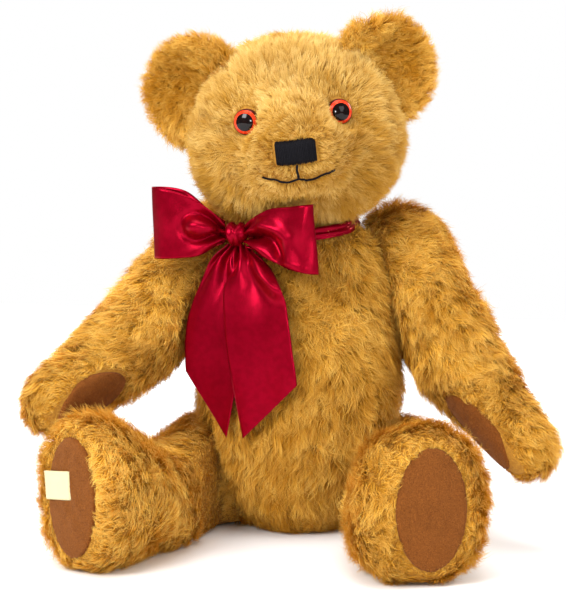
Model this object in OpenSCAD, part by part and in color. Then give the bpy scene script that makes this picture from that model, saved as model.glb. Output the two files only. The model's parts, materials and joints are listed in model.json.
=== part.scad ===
// Jointed mohair teddy bear, seated. Millimetres, +Z up.
// It faces -Y, its own left is +X, and it sits on the plane z = 0 with the
// origin at the middle of its seat.

/* [Body] */
// Height of the neck joint above the seat
neck_h = 186; // [184:1:188]
// Half-width of the belly at its widest
belly_w = 57; // [56:1:58]
// Thickness of the plush fabric with its dense under-fur
wall = 3; // [2.6:0.2:3.2]

/* [Head] */
// Half-width of the head
head_w = 58; // [56:1:59]
// How far the muzzle stands out from the face
muzzle_out = 33; // [30:1:34]
// Radius of an ear
ear_r = 31; // [28:1:32]
// Diameter of a safety eye
eye_d = 16; // [14:1:18]
// Width of the embroidered nose
nose_w = 24; // [22:1:26]

/* [Limbs] */
// Swing of the right arm forward from hanging straight down
right_swing = 50; // [46:1:54]
// Swing of the left arm forward from hanging straight down
left_swing = 36; // [32:1:42]

/* [Joints] */
// Diameter of the bolts through the discs
bolt_d = 6; // [5:0.5:6]
// Thickness of a hardboard joint disc
disc_t = 3; // [2.5:0.5:3]
// Diameter of the neck discs
neck_disc_d = 34; // [32:1:35]
// Diameter of the shoulder discs
arm_disc_d = 29; // [26:1:29]
// Diameter of the hip discs
leg_disc_d = 44; // [36:1:44]

/* [Ribbon] */
// Width of the satin ribbon
ribbon_w = 38; // [32:1:38]
// Thickness of the ribbon pieces
ribbon_t = 1.6; // [1.2:0.2:2]

/* [Hidden] */

$fn = 48;
MOHAIR = "#c8964a";
FELT = "#8a4a22";
SATIN = "#a00a2c";
BOARD = "#b08a5a";
STEEL = "#b8bcc0";
FILL = "#f2efe6";
THREAD = "#141214";

gap = 0.3;        // clearance between two bodies that turn on each other
fit = 0.1;        // clearance between pieces of the same body
washer_t = 1.2;
washer_d = 18;
head_t = 4;       // bolt head
nut_t = 6;        // lock nut
nut_af = 10;      // across flats of bolt head and nut
far = 90;         // reach of a cutting cylinder

// ---- joint frames: [centre, yaw, tilt], local +X points out of the torso ----
SHOULDER_L = [[40, 16, 158], 30, 15];
SHOULDER_R = [[43.5, 5, 158], 10, 13];
HIP_L = [[39.5, 9, 33], 16, 0];
HIP_R = [[41, 1, 33], 2, 0];
NECK = [2, 0, neck_h];
NECK_TILT = [8, -4.5, 0];
HEAD_YAW = 16;

module at_left(j) {
    translate(j[0]) rotate([0, -j[2], j[1]]) children();
}

module at_right(j) {
    mirror([1, 0, 0]) at_left(j) children();
}

// local +X becomes the upward neck axis
module at_neck() {
    translate(NECK) rotate(NECK_TILT) rotate([0, -90, 0]) children();
}

// the head's own frame, upright on the neck joint with its face to -Y
module at_head() {
    translate(NECK) rotate(NECK_TILT) rotate([0, 0, HEAD_YAW]) children();
}

// a cylinder along local +X from x0 to x1
module along_x(r, x0, x1) {
    translate([x0, 0, 0]) rotate([0, 90, 0]) cylinder(r = r, h = x1 - x0);
}

// ---- smooth curves through a few rows, and lofted skins ----
function row_of(tab, t, i = 0) =
    i >= len(tab) - 2 || t < tab[i + 1][0] ? i : row_of(tab, t, i + 1);

function slope(tab, i) =
    let (a = tab[max(i - 1, 0)], b = tab[min(i + 1, len(tab) - 1)])
    (b - a) / (b[0] - a[0]);

// the whole row at t, between the rows of a table by a cubic
function at(tab, t) =
    let (
        i = row_of(tab, t),
        h = tab[i + 1][0] - tab[i][0],
        u = (t - tab[i][0]) / h
    )
    tab[i] * (2 * pow(u, 3) - 3 * u * u + 1)
    + slope(tab, i) * h * (pow(u, 3) - 2 * u * u + u)
    + tab[i + 1] * (3 * u * u - 2 * pow(u, 3))
    + slope(tab, i + 1) * h * (pow(u, 3) - u * u);

function bulge(v, n) = sign(v) * pow(abs(v), 2 / n);

// closed skin over a list of rings with the same number of points
module loft(rings) {
    n = len(rings[0]);
    m = len(rings);
    points = [for (r = rings) each r];
    sides = [
        for (j = [0:m - 2], i = [0:n - 1]) let (k = (i + 1) % n)
            each [
                [j * n + i, (j + 1) * n + k, j * n + k],
                [j * n + i, (j + 1) * n + i, (j + 1) * n + k]
            ]
    ];
    first = [for (i = [0:n - 1]) i];
    last = [for (i = [n - 1:-1:0]) (m - 1) * n + i];
    polyhedron(points = points, faces = concat([first], sides, [last]));
}

// ---- torso ----
torso_sides = 28;
// [height, half-width, half-depth, middle in y], for the neck at 184
TORSO = [
    [0, 33, 31, 0], [3, 40, 38, 0], [9, 45.5, 43, 0], [20, 49, 47, -1],
    [38, 51.5, 50, -2], [60, 54.5, 53, -3], [90, 57, 55, -3],
    [120, 55, 51, -2], [145, 51, 46, 0], [160, 46.5, 41, 1],
    [171, 40.5, 35.5, 1], [179, 33.5, 30.5, 0], [186, 27, 26.5, 0],
    [192, 19, 19, 0]
];
TORSO_Z = [0, 3, 9, 20, 38, 60, 80, 100, 120, 138, 152, 163, 171, 179, 186, 192];

function torso_point(z, turn, out) =
    let (r = at(TORSO, z * 184 / neck_h), grow = belly_w / 57)
    [
        (r[1] * grow + out) * bulge(sin(turn), 2.15),
        r[3] - (r[2] + out) * bulge(cos(turn), 2.15),
        z
    ];

function torso_rings(inset) =
    let (top = TORSO_Z[len(TORSO_Z) - 1])
    [
        for (h = TORSO_Z)
            let (z = (inset + h * (top - 2 * inset) / top) * neck_h / 184)
            [
                for (i = [0:torso_sides - 1])
                    torso_point(z, 360 * i / torso_sides, -inset)
            ]
    ];

// space that the head or a limb needs beside the torso, grown by a wall
module neck_space(grow = 0) {
    at_neck() along_x(60, -grow, 60);
}

module arm_space(grow = 0) {
    along_x(far, -grow, 60);
}

module leg_space(grow = 0) {
    along_x(33 + grow, -grow, 60);
    translate([-grow, -far, -far]) cube([60, far, far + 32 + grow]);
}

module torso_spaces(grow = 0) {
    neck_space(grow);
    at_left(SHOULDER_L) arm_space(grow);
    at_right(SHOULDER_R) arm_space(grow);
    at_left(HIP_L) leg_space(grow);
    at_right(HIP_R) leg_space(grow);
}

// the same tool at each of the five joints of the torso
module every_joint(neck_r, arm_r, leg_r, x0, x1) {
    at_neck() along_x(neck_r, x0, x1);
    at_left(SHOULDER_L) along_x(arm_r, x0, x1);
    at_right(SHOULDER_R) along_x(arm_r, x0, x1);
    at_left(HIP_L) along_x(leg_r, x0, x1);
    at_right(HIP_R) along_x(leg_r, x0, x1);
}

bolt_r = bolt_d / 2;
hole_r = bolt_r + 0.4;
body_disc_x = -wall - fit - disc_t;
body_washer_x = body_disc_x - fit - washer_t;
nut_x = body_washer_x - fit - nut_t;
limb_wall_x = gap + wall;
limb_disc_x = limb_wall_x + fit;
limb_washer_x = limb_disc_x + disc_t + fit;
bolt_head_x = limb_washer_x + washer_t + fit;

module torso_cover() {
    color(MOHAIR) difference() {
        loft(torso_rings(0));
        torso_spaces();
        difference() {
            loft(torso_rings(wall));
            torso_spaces(wall);
        }
        every_joint(hole_r, hole_r, hole_r, -20, 5);
    }
}

module torso_stuffing() {
    color(FILL) difference() {
        loft(torso_rings(wall + gap));
        torso_spaces(wall + gap);
        every_joint(
            neck_disc_d / 2 + 1, arm_disc_d / 2 + 1, leg_disc_d / 2 + 1,
            body_disc_x - 0.5, 5
        );
        every_joint(10, 10, 10, nut_x - 4, 5);
    }
}

module body_disc(d) {
    color(BOARD) difference() {
        along_x(d / 2, body_disc_x, body_disc_x + disc_t);
        along_x(hole_r, body_disc_x - 1, 1);
    }
}

module body_washer() {
    difference() {
        along_x(washer_d / 2, body_washer_x, body_washer_x + washer_t);
        along_x(hole_r, body_washer_x - 1, 1);
    }
}

module neck_body_disc() {
    at_neck() body_disc(neck_disc_d);
}

module shoulder_left_body_disc() {
    at_left(SHOULDER_L) body_disc(arm_disc_d);
}

module shoulder_right_body_disc() {
    at_right(SHOULDER_R) body_disc(arm_disc_d);
}

module hip_left_body_disc() {
    at_left(HIP_L) body_disc(leg_disc_d);
}

module hip_right_body_disc() {
    at_right(HIP_R) body_disc(leg_disc_d);
}

module body_washers() {
    color(STEEL) {
        at_neck() body_washer();
        at_left(SHOULDER_L) body_washer();
        at_right(SHOULDER_R) body_washer();
        at_left(HIP_L) body_washer();
        at_right(HIP_R) body_washer();
    }
}

// ---- the disc, washer, bolt and lock nut that ride on a limb or the head ----
module limb_disc(d) {
    color(BOARD) difference() {
        along_x(d / 2, limb_disc_x, limb_disc_x + disc_t);
        along_x(bolt_r + fit, 0, limb_disc_x + disc_t + 1);
    }
}

module limb_washer() {
    color(STEEL) difference() {
        along_x(washer_d / 2, limb_washer_x, limb_washer_x + washer_t);
        along_x(bolt_r + fit, 0, bolt_head_x + 1);
    }
}

module hexagon(x0, x1) {
    translate([x0, 0, 0]) rotate([0, 90, 0])
        cylinder(r = nut_af / sqrt(3), h = x1 - x0, $fn = 6);
}

module bolt() {
    color(STEEL) {
        along_x(bolt_r, nut_x - 2, bolt_head_x + 1);
        hexagon(bolt_head_x, bolt_head_x + head_t);
    }
}

module lock_nut() {
    color(STEEL) difference() {
        hexagon(nut_x, nut_x + nut_t);
        along_x(bolt_r + 0.05, nut_x - 1, nut_x + nut_t + 1);
    }
}

// hollow in a limb's stuffing for its disc, washer and bolt head
module limb_pocket(d) {
    along_x(d / 2 + 1, -1, limb_disc_x + disc_t + 0.5);
    along_x(10, -1, bolt_head_x + head_t + 1);
}

// everything on the torso's side of a joint plane
module inner_side(x) {
    along_x(far * 3, -60, x);
}

// ---- head ----
head_sides = 36;
head_rows = 22;
head_rise = 49;       // middle of the head above the neck joint
head_d = 52;
head_h = 56;
muzzle_rise = 1;      // angle of the muzzle above the horizon of the head
muzzle_turn = 25;     // half-angle that the muzzle covers
nose_z = 6;           // middle of the nose above the middle of the head
eye_turn = 31;        // bearing of an eye from the middle of the head
eye_rise = 20;

function angle_between(a, b) = acos(max(-1, min(1, a * b / norm(a) / norm(b))));

function swell(dir, axis, spread, power) =
    exp(-pow(angle_between(dir, axis) / spread, power));

// distance of the head's skin from its middle, along a unit direction
function head_reach(d, out) =
    1 / norm([d[0] / (head_w + out), d[1] / (head_d + out), d[2] / (head_h + out)])
    + muzzle_out * swell(d, [0, -cos(muzzle_rise), sin(muzzle_rise)], muzzle_turn, 2.6)
    + 4 * swell(d, [0.75, -0.5, -0.42], 32, 2)
    + 4 * swell(d, [-0.75, -0.5, -0.42], 32, 2)
    - 5 * swell(d, [0, 0, -1], 40, 2);

function head_point(turn, rise, out) =
    let (d = [cos(rise) * sin(turn), -cos(rise) * cos(turn), sin(rise)])
    d * head_reach(d, out) + [0, 0, head_rise];

// rows of points from just above the bottom to just below the top
function head_rings(out) = [
    for (j = [0:head_rows])
        let (rise = -86 + 172 * j / head_rows)
        [for (i = [0:head_sides - 1]) head_point(360 * i / head_sides, rise, out)]
];

module head_base(out) {
    loft(head_rings(out));
}

// the same axis as the neck joint, in the head's own frame
module on_neck_axis() {
    rotate([0, -90, 0]) children();
}

module at_eye(side) {
    d = [cos(eye_rise) * sin(eye_turn), -cos(eye_rise) * cos(eye_turn), sin(eye_rise)];
    p = d * head_reach(d, 0);
    translate([side * p[0], p[1], p[2] + head_rise])
        rotate([90 - 6, 0, side * 18]) children();
}

module head_cover() {
    color(MOHAIR) at_head() difference() {
        head_base(0);
        on_neck_axis() inner_side(gap);
        difference() {
            head_base(-wall);
            on_neck_axis() inner_side(limb_wall_x);
        }
        on_neck_axis() along_x(hole_r, -1, 20);
        for (side = [-1, 1]) at_eye(side) {
            translate([0, 0, -12]) cylinder(r = 2.4, h = 24);
            translate([0, 0, -1]) cylinder(r = eye_d / 2 + fit, h = 12);
        }
    }
}

module head_stuffing() {
    color(FILL) at_head() difference() {
        head_base(-wall - gap);
        on_neck_axis() inner_side(limb_wall_x + gap);
        on_neck_axis() limb_pocket(neck_disc_d);
        for (side = [-1, 1]) at_eye(side)
            translate([0, 0, -16]) cylinder(r = 8, h = 30);
    }
}

ear_t = 15;
ear_cup = 12;

function ear_rings(r) = [
    for (q = [-78:13:78]) [
        for (i = [0:27]) let (u = 360 * i / 28)
            [
                r * cos(q) * sin(u),
                ear_t / 2 * sin(q) - ear_cup * pow(cos(q), 2),
                r * cos(q) * cos(u)
            ]
    ]
];

module ear(side) {
    color(MOHAIR) at_head() difference() {
        translate([side * 52, 10, head_rise + 32.5])
            rotate([-4, side * 35, side * 22]) loft(ear_rings(ear_r));
        head_base(fit);
    }
}

module ear_left() {
    ear(1);
}

module ear_right() {
    ear(-1);
}

// domed head on a ribbed shank
module eye(side) {
    r = eye_d / 2;
    color("#d83018") at_head() at_eye(side) rotate_extrude() polygon([
        [0, -11], [1.8, -11], [2.1, -9], [1.8, -8.2], [2.1, -7.4], [1.8, -6.6],
        [2.1, -5.8], [2.1, -0.8], [r, -0.8], [r, 0.6],
        for (q = [10:20:70]) [r * cos(q), 0.6 + 5 * sin(q)],
        [0, 5.6]
    ]);
}

module eye_left() {
    eye(1);
}

module eye_right() {
    eye(-1);
}

module eye_lock_washers() {
    color("#e8e8e4") at_head() for (side = [-1, 1]) at_eye(side)
        translate([0, 0, -9.4]) difference() {
            cylinder(r = 6.5, h = 1.2);
            translate([0, 0, -1]) cylinder(r = 2.2, h = 4);
        }
}

// thread laid on the face: a thin layer of the head's own shape
module on_face(thick) {
    color(THREAD) at_head() difference() {
        intersection() {
            head_base(thick);
            translate([0, -20, head_rise]) rotate([90, 0, 0])
                linear_extrude(far) children();
        }
        head_base(0.05);
    }
}

nose_h = nose_w * 0.54;
mouth_w = 2.2;
mouth_reach = 19;

module nose_stitching() {
    on_face(2.4) translate([0, nose_z])
        offset(r = 3) square([nose_w - 6, nose_h - 6], center = true);
}

// height of the mouth line below the middle of the head, x from the middle
function mouth_at(x) =
    -9.5 - 1.6 * sin(min(abs(x) * 15, 180)) + pow(max(abs(x) - 9, 0), 2) * 0.012;

module mouth_stitching() {
    top = [for (x = [-mouth_reach:1.9:mouth_reach]) [x, mouth_at(x) + mouth_w / 2]];
    low = [for (x = [mouth_reach:-1.9:-mouth_reach]) [x, mouth_at(x) - mouth_w / 2]];
    on_face(1.2) {
        polygon(concat(top, low));
        translate([-mouth_w / 2, -10])
            square([mouth_w, 10 + nose_z - nose_h / 2 - fit]);
    }
}

module neck_head_disc() {
    at_neck() limb_disc(neck_disc_d);
}

module neck_head_washer() {
    at_neck() limb_washer();
}

module neck_bolt() {
    at_neck() bolt();
}

module neck_nut() {
    at_neck() lock_nut();
}

// ---- arms: local -Z runs down the arm, local -Y is forward ----
limb_sides = 22;
arm_bend = 0.001;
arm_wrist = 152;
// [distance down the arm, half fore-and-aft, half thickness, outward]
ARM = [
    [0, 27.5, 25.5, 19], [30, 28, 25, 20], [60, 27, 24, 22.5], [90, 24, 21.5, 26],
    [115, 21, 19, 29], [135, 19, 17, 32], [152, 17, 15, 34]
];
arm_top = 27;
arm_tip = 15;

function arm_ring(t, part, inset) =
    let (
        s = max(0, t),
        row = at(ARM, min(s, arm_wrist)),
        lean = atan(2 * arm_bend * s),
        a = (row[1] - inset) * part,
        b = (row[2] - inset) * part,
        c = [row[3], -arm_bend * s * s, -t]
    )
    [
        for (i = [0:limb_sides - 1])
            let (u = -360 * i / limb_sides, f = a * bulge(sin(u), 2.4))
            c + [b * bulge(cos(u), 2.4), f * cos(lean), -f * sin(lean)]
    ];

function arm_rings(inset) = concat(
    [for (q = [80, 60, 40, 20]) arm_ring(-(arm_top - inset) * sin(q), cos(q), inset)],
    [for (t = [0:arm_wrist / 6:arm_wrist]) arm_ring(t, 1, inset)],
    [for (q = [22, 44, 64, 82]) arm_ring(arm_wrist + (arm_tip - inset) * sin(q), cos(q), inset)]
);

// oval column through the palm side of the paw
module paw_oval(grow) {
    mid = 130;
    translate([0, -arm_bend * mid * mid, -mid])
        rotate([-atan(2 * arm_bend * mid), 0, 0])
            rotate([90, 0, 90]) linear_extrude(29)
                polygon([
                    for (u = [0:15:345])
                        [(14 + grow) * cos(u), (30 + grow) * sin(u)]
                ]);
}

module arm_cover(swing) {
    color(MOHAIR) rotate([-swing, 0, 0]) difference() {
        loft(arm_rings(0));
        inner_side(gap);
        difference() {
            loft(arm_rings(wall));
            inner_side(limb_wall_x);
        }
        along_x(hole_r, -1, 20);
        paw_oval(fit);
    }
}

module arm_stuffing(swing) {
    color(FILL) rotate([-swing, 0, 0]) difference() {
        loft(arm_rings(wall + gap));
        inner_side(limb_wall_x + gap);
        limb_pocket(arm_disc_d);
    }
}

module paw_pad(swing) {
    color(FELT) rotate([-swing, 0, 0]) difference() {
        intersection() {
            loft(arm_rings(0.2));
            paw_oval(0);
        }
        loft(arm_rings(wall + gap / 2));
    }
}

module arm_left_cover() {
    at_left(SHOULDER_L) arm_cover(left_swing);
}

module arm_left_stuffing() {
    at_left(SHOULDER_L) arm_stuffing(left_swing);
}

module paw_left_pad() {
    at_left(SHOULDER_L) paw_pad(left_swing);
}

module arm_left_disc() {
    at_left(SHOULDER_L) limb_disc(arm_disc_d);
}

module arm_left_washer() {
    at_left(SHOULDER_L) limb_washer();
}

module arm_left_bolt() {
    at_left(SHOULDER_L) bolt();
}

module arm_left_nut() {
    at_left(SHOULDER_L) lock_nut();
}

module arm_right_cover() {
    at_right(SHOULDER_R) arm_cover(right_swing);
}

module arm_right_stuffing() {
    at_right(SHOULDER_R) arm_stuffing(right_swing);
}

module paw_right_pad() {
    at_right(SHOULDER_R) paw_pad(right_swing);
}

module arm_right_disc() {
    at_right(SHOULDER_R) limb_disc(arm_disc_d);
}

module arm_right_washer() {
    at_right(SHOULDER_R) limb_washer();
}

module arm_right_bolt() {
    at_right(SHOULDER_R) bolt();
}

module arm_right_nut() {
    at_right(SHOULDER_R) lock_nut();
}

// ---- legs: local -Y runs along the leg, local +Z is up ----
left_foot_turn = 16;    // a foot's sole turns outward from its thigh
right_foot_turn = 29;
// [distance along the leg, half-height, half-thickness, height of the middle]
LEG = [
    [0, 30, 27, 0], [30, 29, 26.5, -1], [55, 27, 25.5, -3], [78, 25.5, 24.5, -5.5],
    [98, 28.5, 24.5, -3.5], [116, 33.5, 26.5, 1], [134, 38.5, 29.5, 6],
    [150, 41.5, 31.5, 9], [160, 41.5, 31.5, 9], [167, 39.5, 28.5, 9],
    [171, 36.5, 23, 9]
];
LEG_T = [0, 22, 44, 62, 78, 92, 108, 124, 140, 154, 163, 168, 171];
leg_end = 171;
leg_top = 30;
leg_out = 15;
sole_h = 33.5;
sole_w = 20;

// the leg's middle line turns outward toward the foot
function turn_at(t, foot_turn) = foot_turn * pow(max(t, 0) / leg_end, 1.5);

function leg_middle(t, foot_turn) =
    [leg_out + leg_end * sin(foot_turn) / 4 * pow(max(t, 0) / leg_end, 2.5), -t];

function leg_ring(t, part, inset, foot_turn) =
    let (
        row = at(LEG, max(0, t)),
        a = (row[1] - inset) * part,
        b = (row[2] - inset) * part,
        g = turn_at(t, foot_turn),
        m = leg_middle(t, foot_turn)
    )
    [
        for (i = [0:limb_sides - 1])
            let (u = 360 * i / limb_sides, s = b * bulge(cos(u), 2.2))
            [m[0] + s * cos(g), m[1] + s * sin(g), row[3] + a * bulge(sin(u), 2.2)]
    ];

function leg_rings(inset, foot_turn) = concat(
    [
        for (q = [80, 60, 40, 20])
            leg_ring(-(leg_top - inset) * sin(q), cos(q), inset, foot_turn)
    ],
    [for (t = LEG_T) leg_ring(t * (leg_end - inset) / leg_end, 1, inset, foot_turn)]
);

// stands on the sole with +Z out of it and +Y up the foot
module at_sole(foot_turn) {
    m = leg_middle(leg_end, foot_turn);
    translate([m[0], m[1], LEG[10][3]])
        rotate([90, 0, foot_turn]) children();
}

module sole_oval(grow) {
    polygon([
        for (u = [0:12:348]) [(sole_w + grow) * cos(u), (sole_h + grow) * sin(u)]
    ]);
}

module leg_cover(foot_turn) {
    color(MOHAIR) difference() {
        loft(leg_rings(0, foot_turn));
        inner_side(gap);
        difference() {
            loft(leg_rings(wall, foot_turn));
            inner_side(limb_wall_x);
        }
        along_x(hole_r, -1, 20);
        at_sole(foot_turn)
            translate([0, 0, -wall - 1]) linear_extrude(10) sole_oval(fit);
    }
}

module leg_stuffing(foot_turn) {
    color(FILL) difference() {
        loft(leg_rings(wall + gap, foot_turn));
        inner_side(limb_wall_x + gap);
        limb_pocket(leg_disc_d);
    }
}

module foot_pad(foot_turn) {
    color(FELT) at_sole(foot_turn) translate([0, 0, -wall + fit])
        linear_extrude(wall + 0.5) sole_oval(0);
}

module leg_left_cover() {
    at_left(HIP_L) leg_cover(left_foot_turn);
}

module leg_left_stuffing() {
    at_left(HIP_L) leg_stuffing(left_foot_turn);
}

module foot_left_pad() {
    at_left(HIP_L) foot_pad(left_foot_turn);
}

module leg_left_disc() {
    at_left(HIP_L) limb_disc(leg_disc_d);
}

module leg_left_washer() {
    at_left(HIP_L) limb_washer();
}

module leg_left_bolt() {
    at_left(HIP_L) bolt();
}

module leg_left_nut() {
    at_left(HIP_L) lock_nut();
}

module leg_right_cover() {
    at_right(HIP_R) leg_cover(right_foot_turn);
}

module leg_right_stuffing() {
    at_right(HIP_R) leg_stuffing(right_foot_turn);
}

module foot_right_pad() {
    at_right(HIP_R) foot_pad(right_foot_turn);
}

module leg_right_disc() {
    at_right(HIP_R) limb_disc(leg_disc_d);
}

module leg_right_washer() {
    at_right(HIP_R) limb_washer();
}

module leg_right_bolt() {
    at_right(HIP_R) bolt();
}

module leg_right_nut() {
    at_right(HIP_R) lock_nut();
}

// blank woven label sewn flat on the right sole
module foot_label() {
    color("#efe6b4") at_right(HIP_R) at_sole(right_foot_turn)
        translate([2, 4, 0.5 + 2 * fit + 0.4]) rotate(-6)
            cube([21, 13, 0.8], center = true);
}

// ---- ribbon ----
// flat band over stations of [middle, half-width vector]
module band(stations) {
    m = len(stations);
    function along(i) =
        stations[min(i + 1, m - 1)][0] - stations[max(i - 1, 0)][0];
    function face_of(i) =
        let (n = cross(stations[i][1], along(i))) n / norm(n) * ribbon_t / 2;
    loft([
        for (i = [0:m - 1])
            let (c = stations[i][0], w = stations[i][1], n = face_of(i))
            [c - w - n, c - w + n, c + w + n, c + w - n]
    ]);
}

half = ribbon_w / 2;
KNOT = [-29, -46, 180];

// height above the neck joint plane
NECK_UP = [
    sin(NECK_TILT[1]) * cos(NECK_TILT[0]), -sin(NECK_TILT[0]),
    cos(NECK_TILT[1]) * cos(NECK_TILT[0])
];

function over_neck(p) = (p - NECK) * NECK_UP;

// the torso's skin at a bearing, where it is h above the neck joint plane
function collar_point(turn, h, out, z = 180, tries = 12) =
    let (p = torso_point(z, turn, out))
    tries == 0 ? p : collar_point(turn, h, out, z - 0.6 * (over_neck(p) - h), tries - 1);

collar_sides = 40;
collar_low = -8;
collar_high = -2;

module ribbon_neck_band() {
    m = collar_sides;
    points = [
        for (j = [0:m - 1]) let (turn = 360 * j / m)
            each [
                collar_point(turn, collar_low, 0.5),
                collar_point(turn, collar_low, 0.5 + ribbon_t),
                collar_point(turn, collar_high, 0.5 + ribbon_t),
                collar_point(turn, collar_high, 0.5)
            ]
    ];
    faces = [
        for (j = [0:m - 1], i = [0:3]) let (k = (i + 1) % 4, n = (j + 1) % m)
            each [[j * 4 + i, j * 4 + k, n * 4 + k], [j * 4 + i, n * 4 + k, n * 4 + i]]
    ];
    color(SATIN) difference() {
        polyhedron(points = points, faces = faces);
        torso_spaces();
    }
}

module bow_knot() {
    color(SATIN) hull() {
        translate(KNOT + [-4, 1, 2]) sphere(r = 5.5, $fn = 16);
        translate(KNOT + [4, -1, 2]) sphere(r = 5.5, $fn = 16);
        translate(KNOT + [0, 0, -3]) sphere(r = 5.5, $fn = 16);
        translate(KNOT + [8, 12, -2]) sphere(r = 3.5, $fn = 16);
    }
}

module bow_loop_left() {
    color(SATIN) band([
        [[-19, -51, 181], [0, 0, 0.26 * half]],
        [[-8, -60, 181], [0, 0, 0.6 * half]],
        [[8, -66, 180], [0, 0, 0.8 * half]],
        [[22, -67, 178], [0, 0, 0.9 * half]],
        [[28, -61, 177], [0, 0, 0.9 * half]],
        [[21, -55, 177], [0, 0, 0.85 * half]],
        [[8, -51, 178], [0, 0, 0.7 * half]],
        [[-8, -47, 179], [0, 0, 0.5 * half]],
        [[-19, -44, 180], [0, 0, 0.24 * half]]
    ]);
}

module bow_loop_right() {
    color(SATIN) band([
        [[-38.6, -43, 180], [0, 0, 0.24 * half]],
        [[-44, -44, 181], [0, 0, 0.5 * half]],
        [[-49, -48, 182], [0, 0, 0.7 * half]],
        [[-51, -54, 182], [0, 0, 0.8 * half]],
        [[-49, -60, 182], [0, 0, 0.75 * half]],
        [[-44, -58, 182], [0, 0, 0.55 * half]],
        [[-38.6, -51, 181], [0, 0, 0.26 * half]]
    ]);
}

module bow_tail_left() {
    color(SATIN) band([
        [[-25, -49, 170.5], [0.26 * half, 0, 0]],
        [[-21, -57, 155], [0.6 * half, 0, 0]],
        [[-14, -62, 136], [0.92 * half, 0, 0]],
        [[-8, -63, 114], [0.92 * half, 0, 0]],
        [[-4, -63, 96], [0.92 * half, 0, 0]],
        [[-2, -62.5, 77], [0.9 * half, 0, 0.8 * half]]
    ]);
}

module bow_tail_right() {
    color(SATIN) band([
        [[-32, -45, 170.5], [0.26 * half, -1, 0]],
        [[-35, -48.5, 157], [0.55 * half, -4, 0]],
        [[-38, -51, 140], [0.8 * half, -6, 0]],
        [[-41, -52, 120], [0.88 * half, -7.5, 0]],
        [[-42, -52, 100], [0.88 * half, -7.5, 0]],
        [[-42, -51.5, 82], [0.82 * half, -6.5, -half]]
    ]);
}

torso_cover();
torso_stuffing();
neck_body_disc();
shoulder_left_body_disc();
shoulder_right_body_disc();
hip_left_body_disc();
hip_right_body_disc();
body_washers();
head_cover();
head_stuffing();
ear_left();
ear_right();
eye_left();
eye_right();
eye_lock_washers();
nose_stitching();
mouth_stitching();
neck_head_disc();
neck_head_washer();
neck_bolt();
neck_nut();
arm_left_cover();
arm_left_stuffing();
paw_left_pad();
arm_left_disc();
arm_left_washer();
arm_left_bolt();
arm_left_nut();
arm_right_cover();
arm_right_stuffing();
paw_right_pad();
arm_right_disc();
arm_right_washer();
arm_right_bolt();
arm_right_nut();
leg_left_cover();
leg_left_stuffing();
foot_left_pad();
leg_left_disc();
leg_left_washer();
leg_left_bolt();
leg_left_nut();
leg_right_cover();
leg_right_stuffing();
foot_right_pad();
leg_right_disc();
leg_right_washer();
leg_right_bolt();
leg_right_nut();
foot_label();
ribbon_neck_band();
bow_knot();
bow_loop_left();
bow_loop_right();
bow_tail_left();
bow_tail_right();
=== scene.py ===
import json
import math

import bmesh
import bpy
import numpy as np
from mathutils import Matrix, Vector
from mathutils.bvhtree import BVHTree
from mathutils.kdtree import KDTree


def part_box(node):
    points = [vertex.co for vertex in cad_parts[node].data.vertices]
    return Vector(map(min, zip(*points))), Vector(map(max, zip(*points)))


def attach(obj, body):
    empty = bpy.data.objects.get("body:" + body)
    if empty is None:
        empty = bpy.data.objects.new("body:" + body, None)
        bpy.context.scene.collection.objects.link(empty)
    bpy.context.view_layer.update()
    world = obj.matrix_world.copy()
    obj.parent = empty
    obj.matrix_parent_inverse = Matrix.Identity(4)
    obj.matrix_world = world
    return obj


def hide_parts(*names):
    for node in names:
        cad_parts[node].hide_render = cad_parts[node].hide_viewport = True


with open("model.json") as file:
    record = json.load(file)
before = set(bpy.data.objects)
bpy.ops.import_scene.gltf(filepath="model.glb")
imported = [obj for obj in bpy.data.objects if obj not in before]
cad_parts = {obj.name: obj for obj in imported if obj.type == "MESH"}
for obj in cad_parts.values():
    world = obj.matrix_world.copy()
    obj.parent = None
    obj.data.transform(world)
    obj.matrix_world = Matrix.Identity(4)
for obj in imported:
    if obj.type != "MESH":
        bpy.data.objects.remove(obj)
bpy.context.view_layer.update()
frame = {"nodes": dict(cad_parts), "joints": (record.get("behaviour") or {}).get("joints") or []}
NODES = frame["nodes"]
MM = 0.001
scene = bpy.context.scene


# ---------------------------------------------------------------- camera
def unit(v):
    v = np.asarray(v, float)
    return v / np.maximum(np.linalg.norm(v, axis=-1, keepdims=True), 1e-12)


CAM_AZ, CAM_EL, CAM_DIST = math.radians(16), math.radians(6), 1.35
PIXEL, IMAGE_WIDTH = 0.0006, 566  # metres that one pixel covers at the bear, and pixels
SENSOR = 36  # millimetres
right = Vector((math.cos(CAM_AZ), math.sin(CAM_AZ), 0))
back = Vector((math.sin(CAM_AZ) * math.cos(CAM_EL), -math.cos(CAM_AZ) * math.cos(CAM_EL),
               math.sin(CAM_EL)))
up = back.cross(right)
aim = Vector((0, 0, 0.150)) - 19 * PIXEL * right - 24 * PIXEL * up
cam_data = bpy.data.cameras.new("camera")
cam_data.sensor_fit = "HORIZONTAL"
cam_data.sensor_width = SENSOR
cam_data.lens = SENSOR * CAM_DIST / (IMAGE_WIDTH * PIXEL)
cam_data.clip_end = 100
cam = bpy.data.objects.new("camera", cam_data)
cam.matrix_world = Matrix((
    (right.x, up.x, back.x, 0), (right.y, up.y, back.y, 0), (right.z, up.z, back.z, 0),
    (0, 0, 0, 1)))
cam.location = aim + CAM_DIST * back
scene.collection.objects.link(cam)
scene.camera = cam


# ---------------------------------------------------------------- mesh helpers
def new_object(name, verts, faces, smooth=True):
    mesh = bpy.data.meshes.new(name)
    mesh.from_pydata([tuple(v) for v in verts], [], [tuple(f) for f in faces])
    mesh.update()
    if smooth:
        mesh.shade_smooth()
    obj = bpy.data.objects.new(name, mesh)
    scene.collection.objects.link(obj)
    return obj


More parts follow.
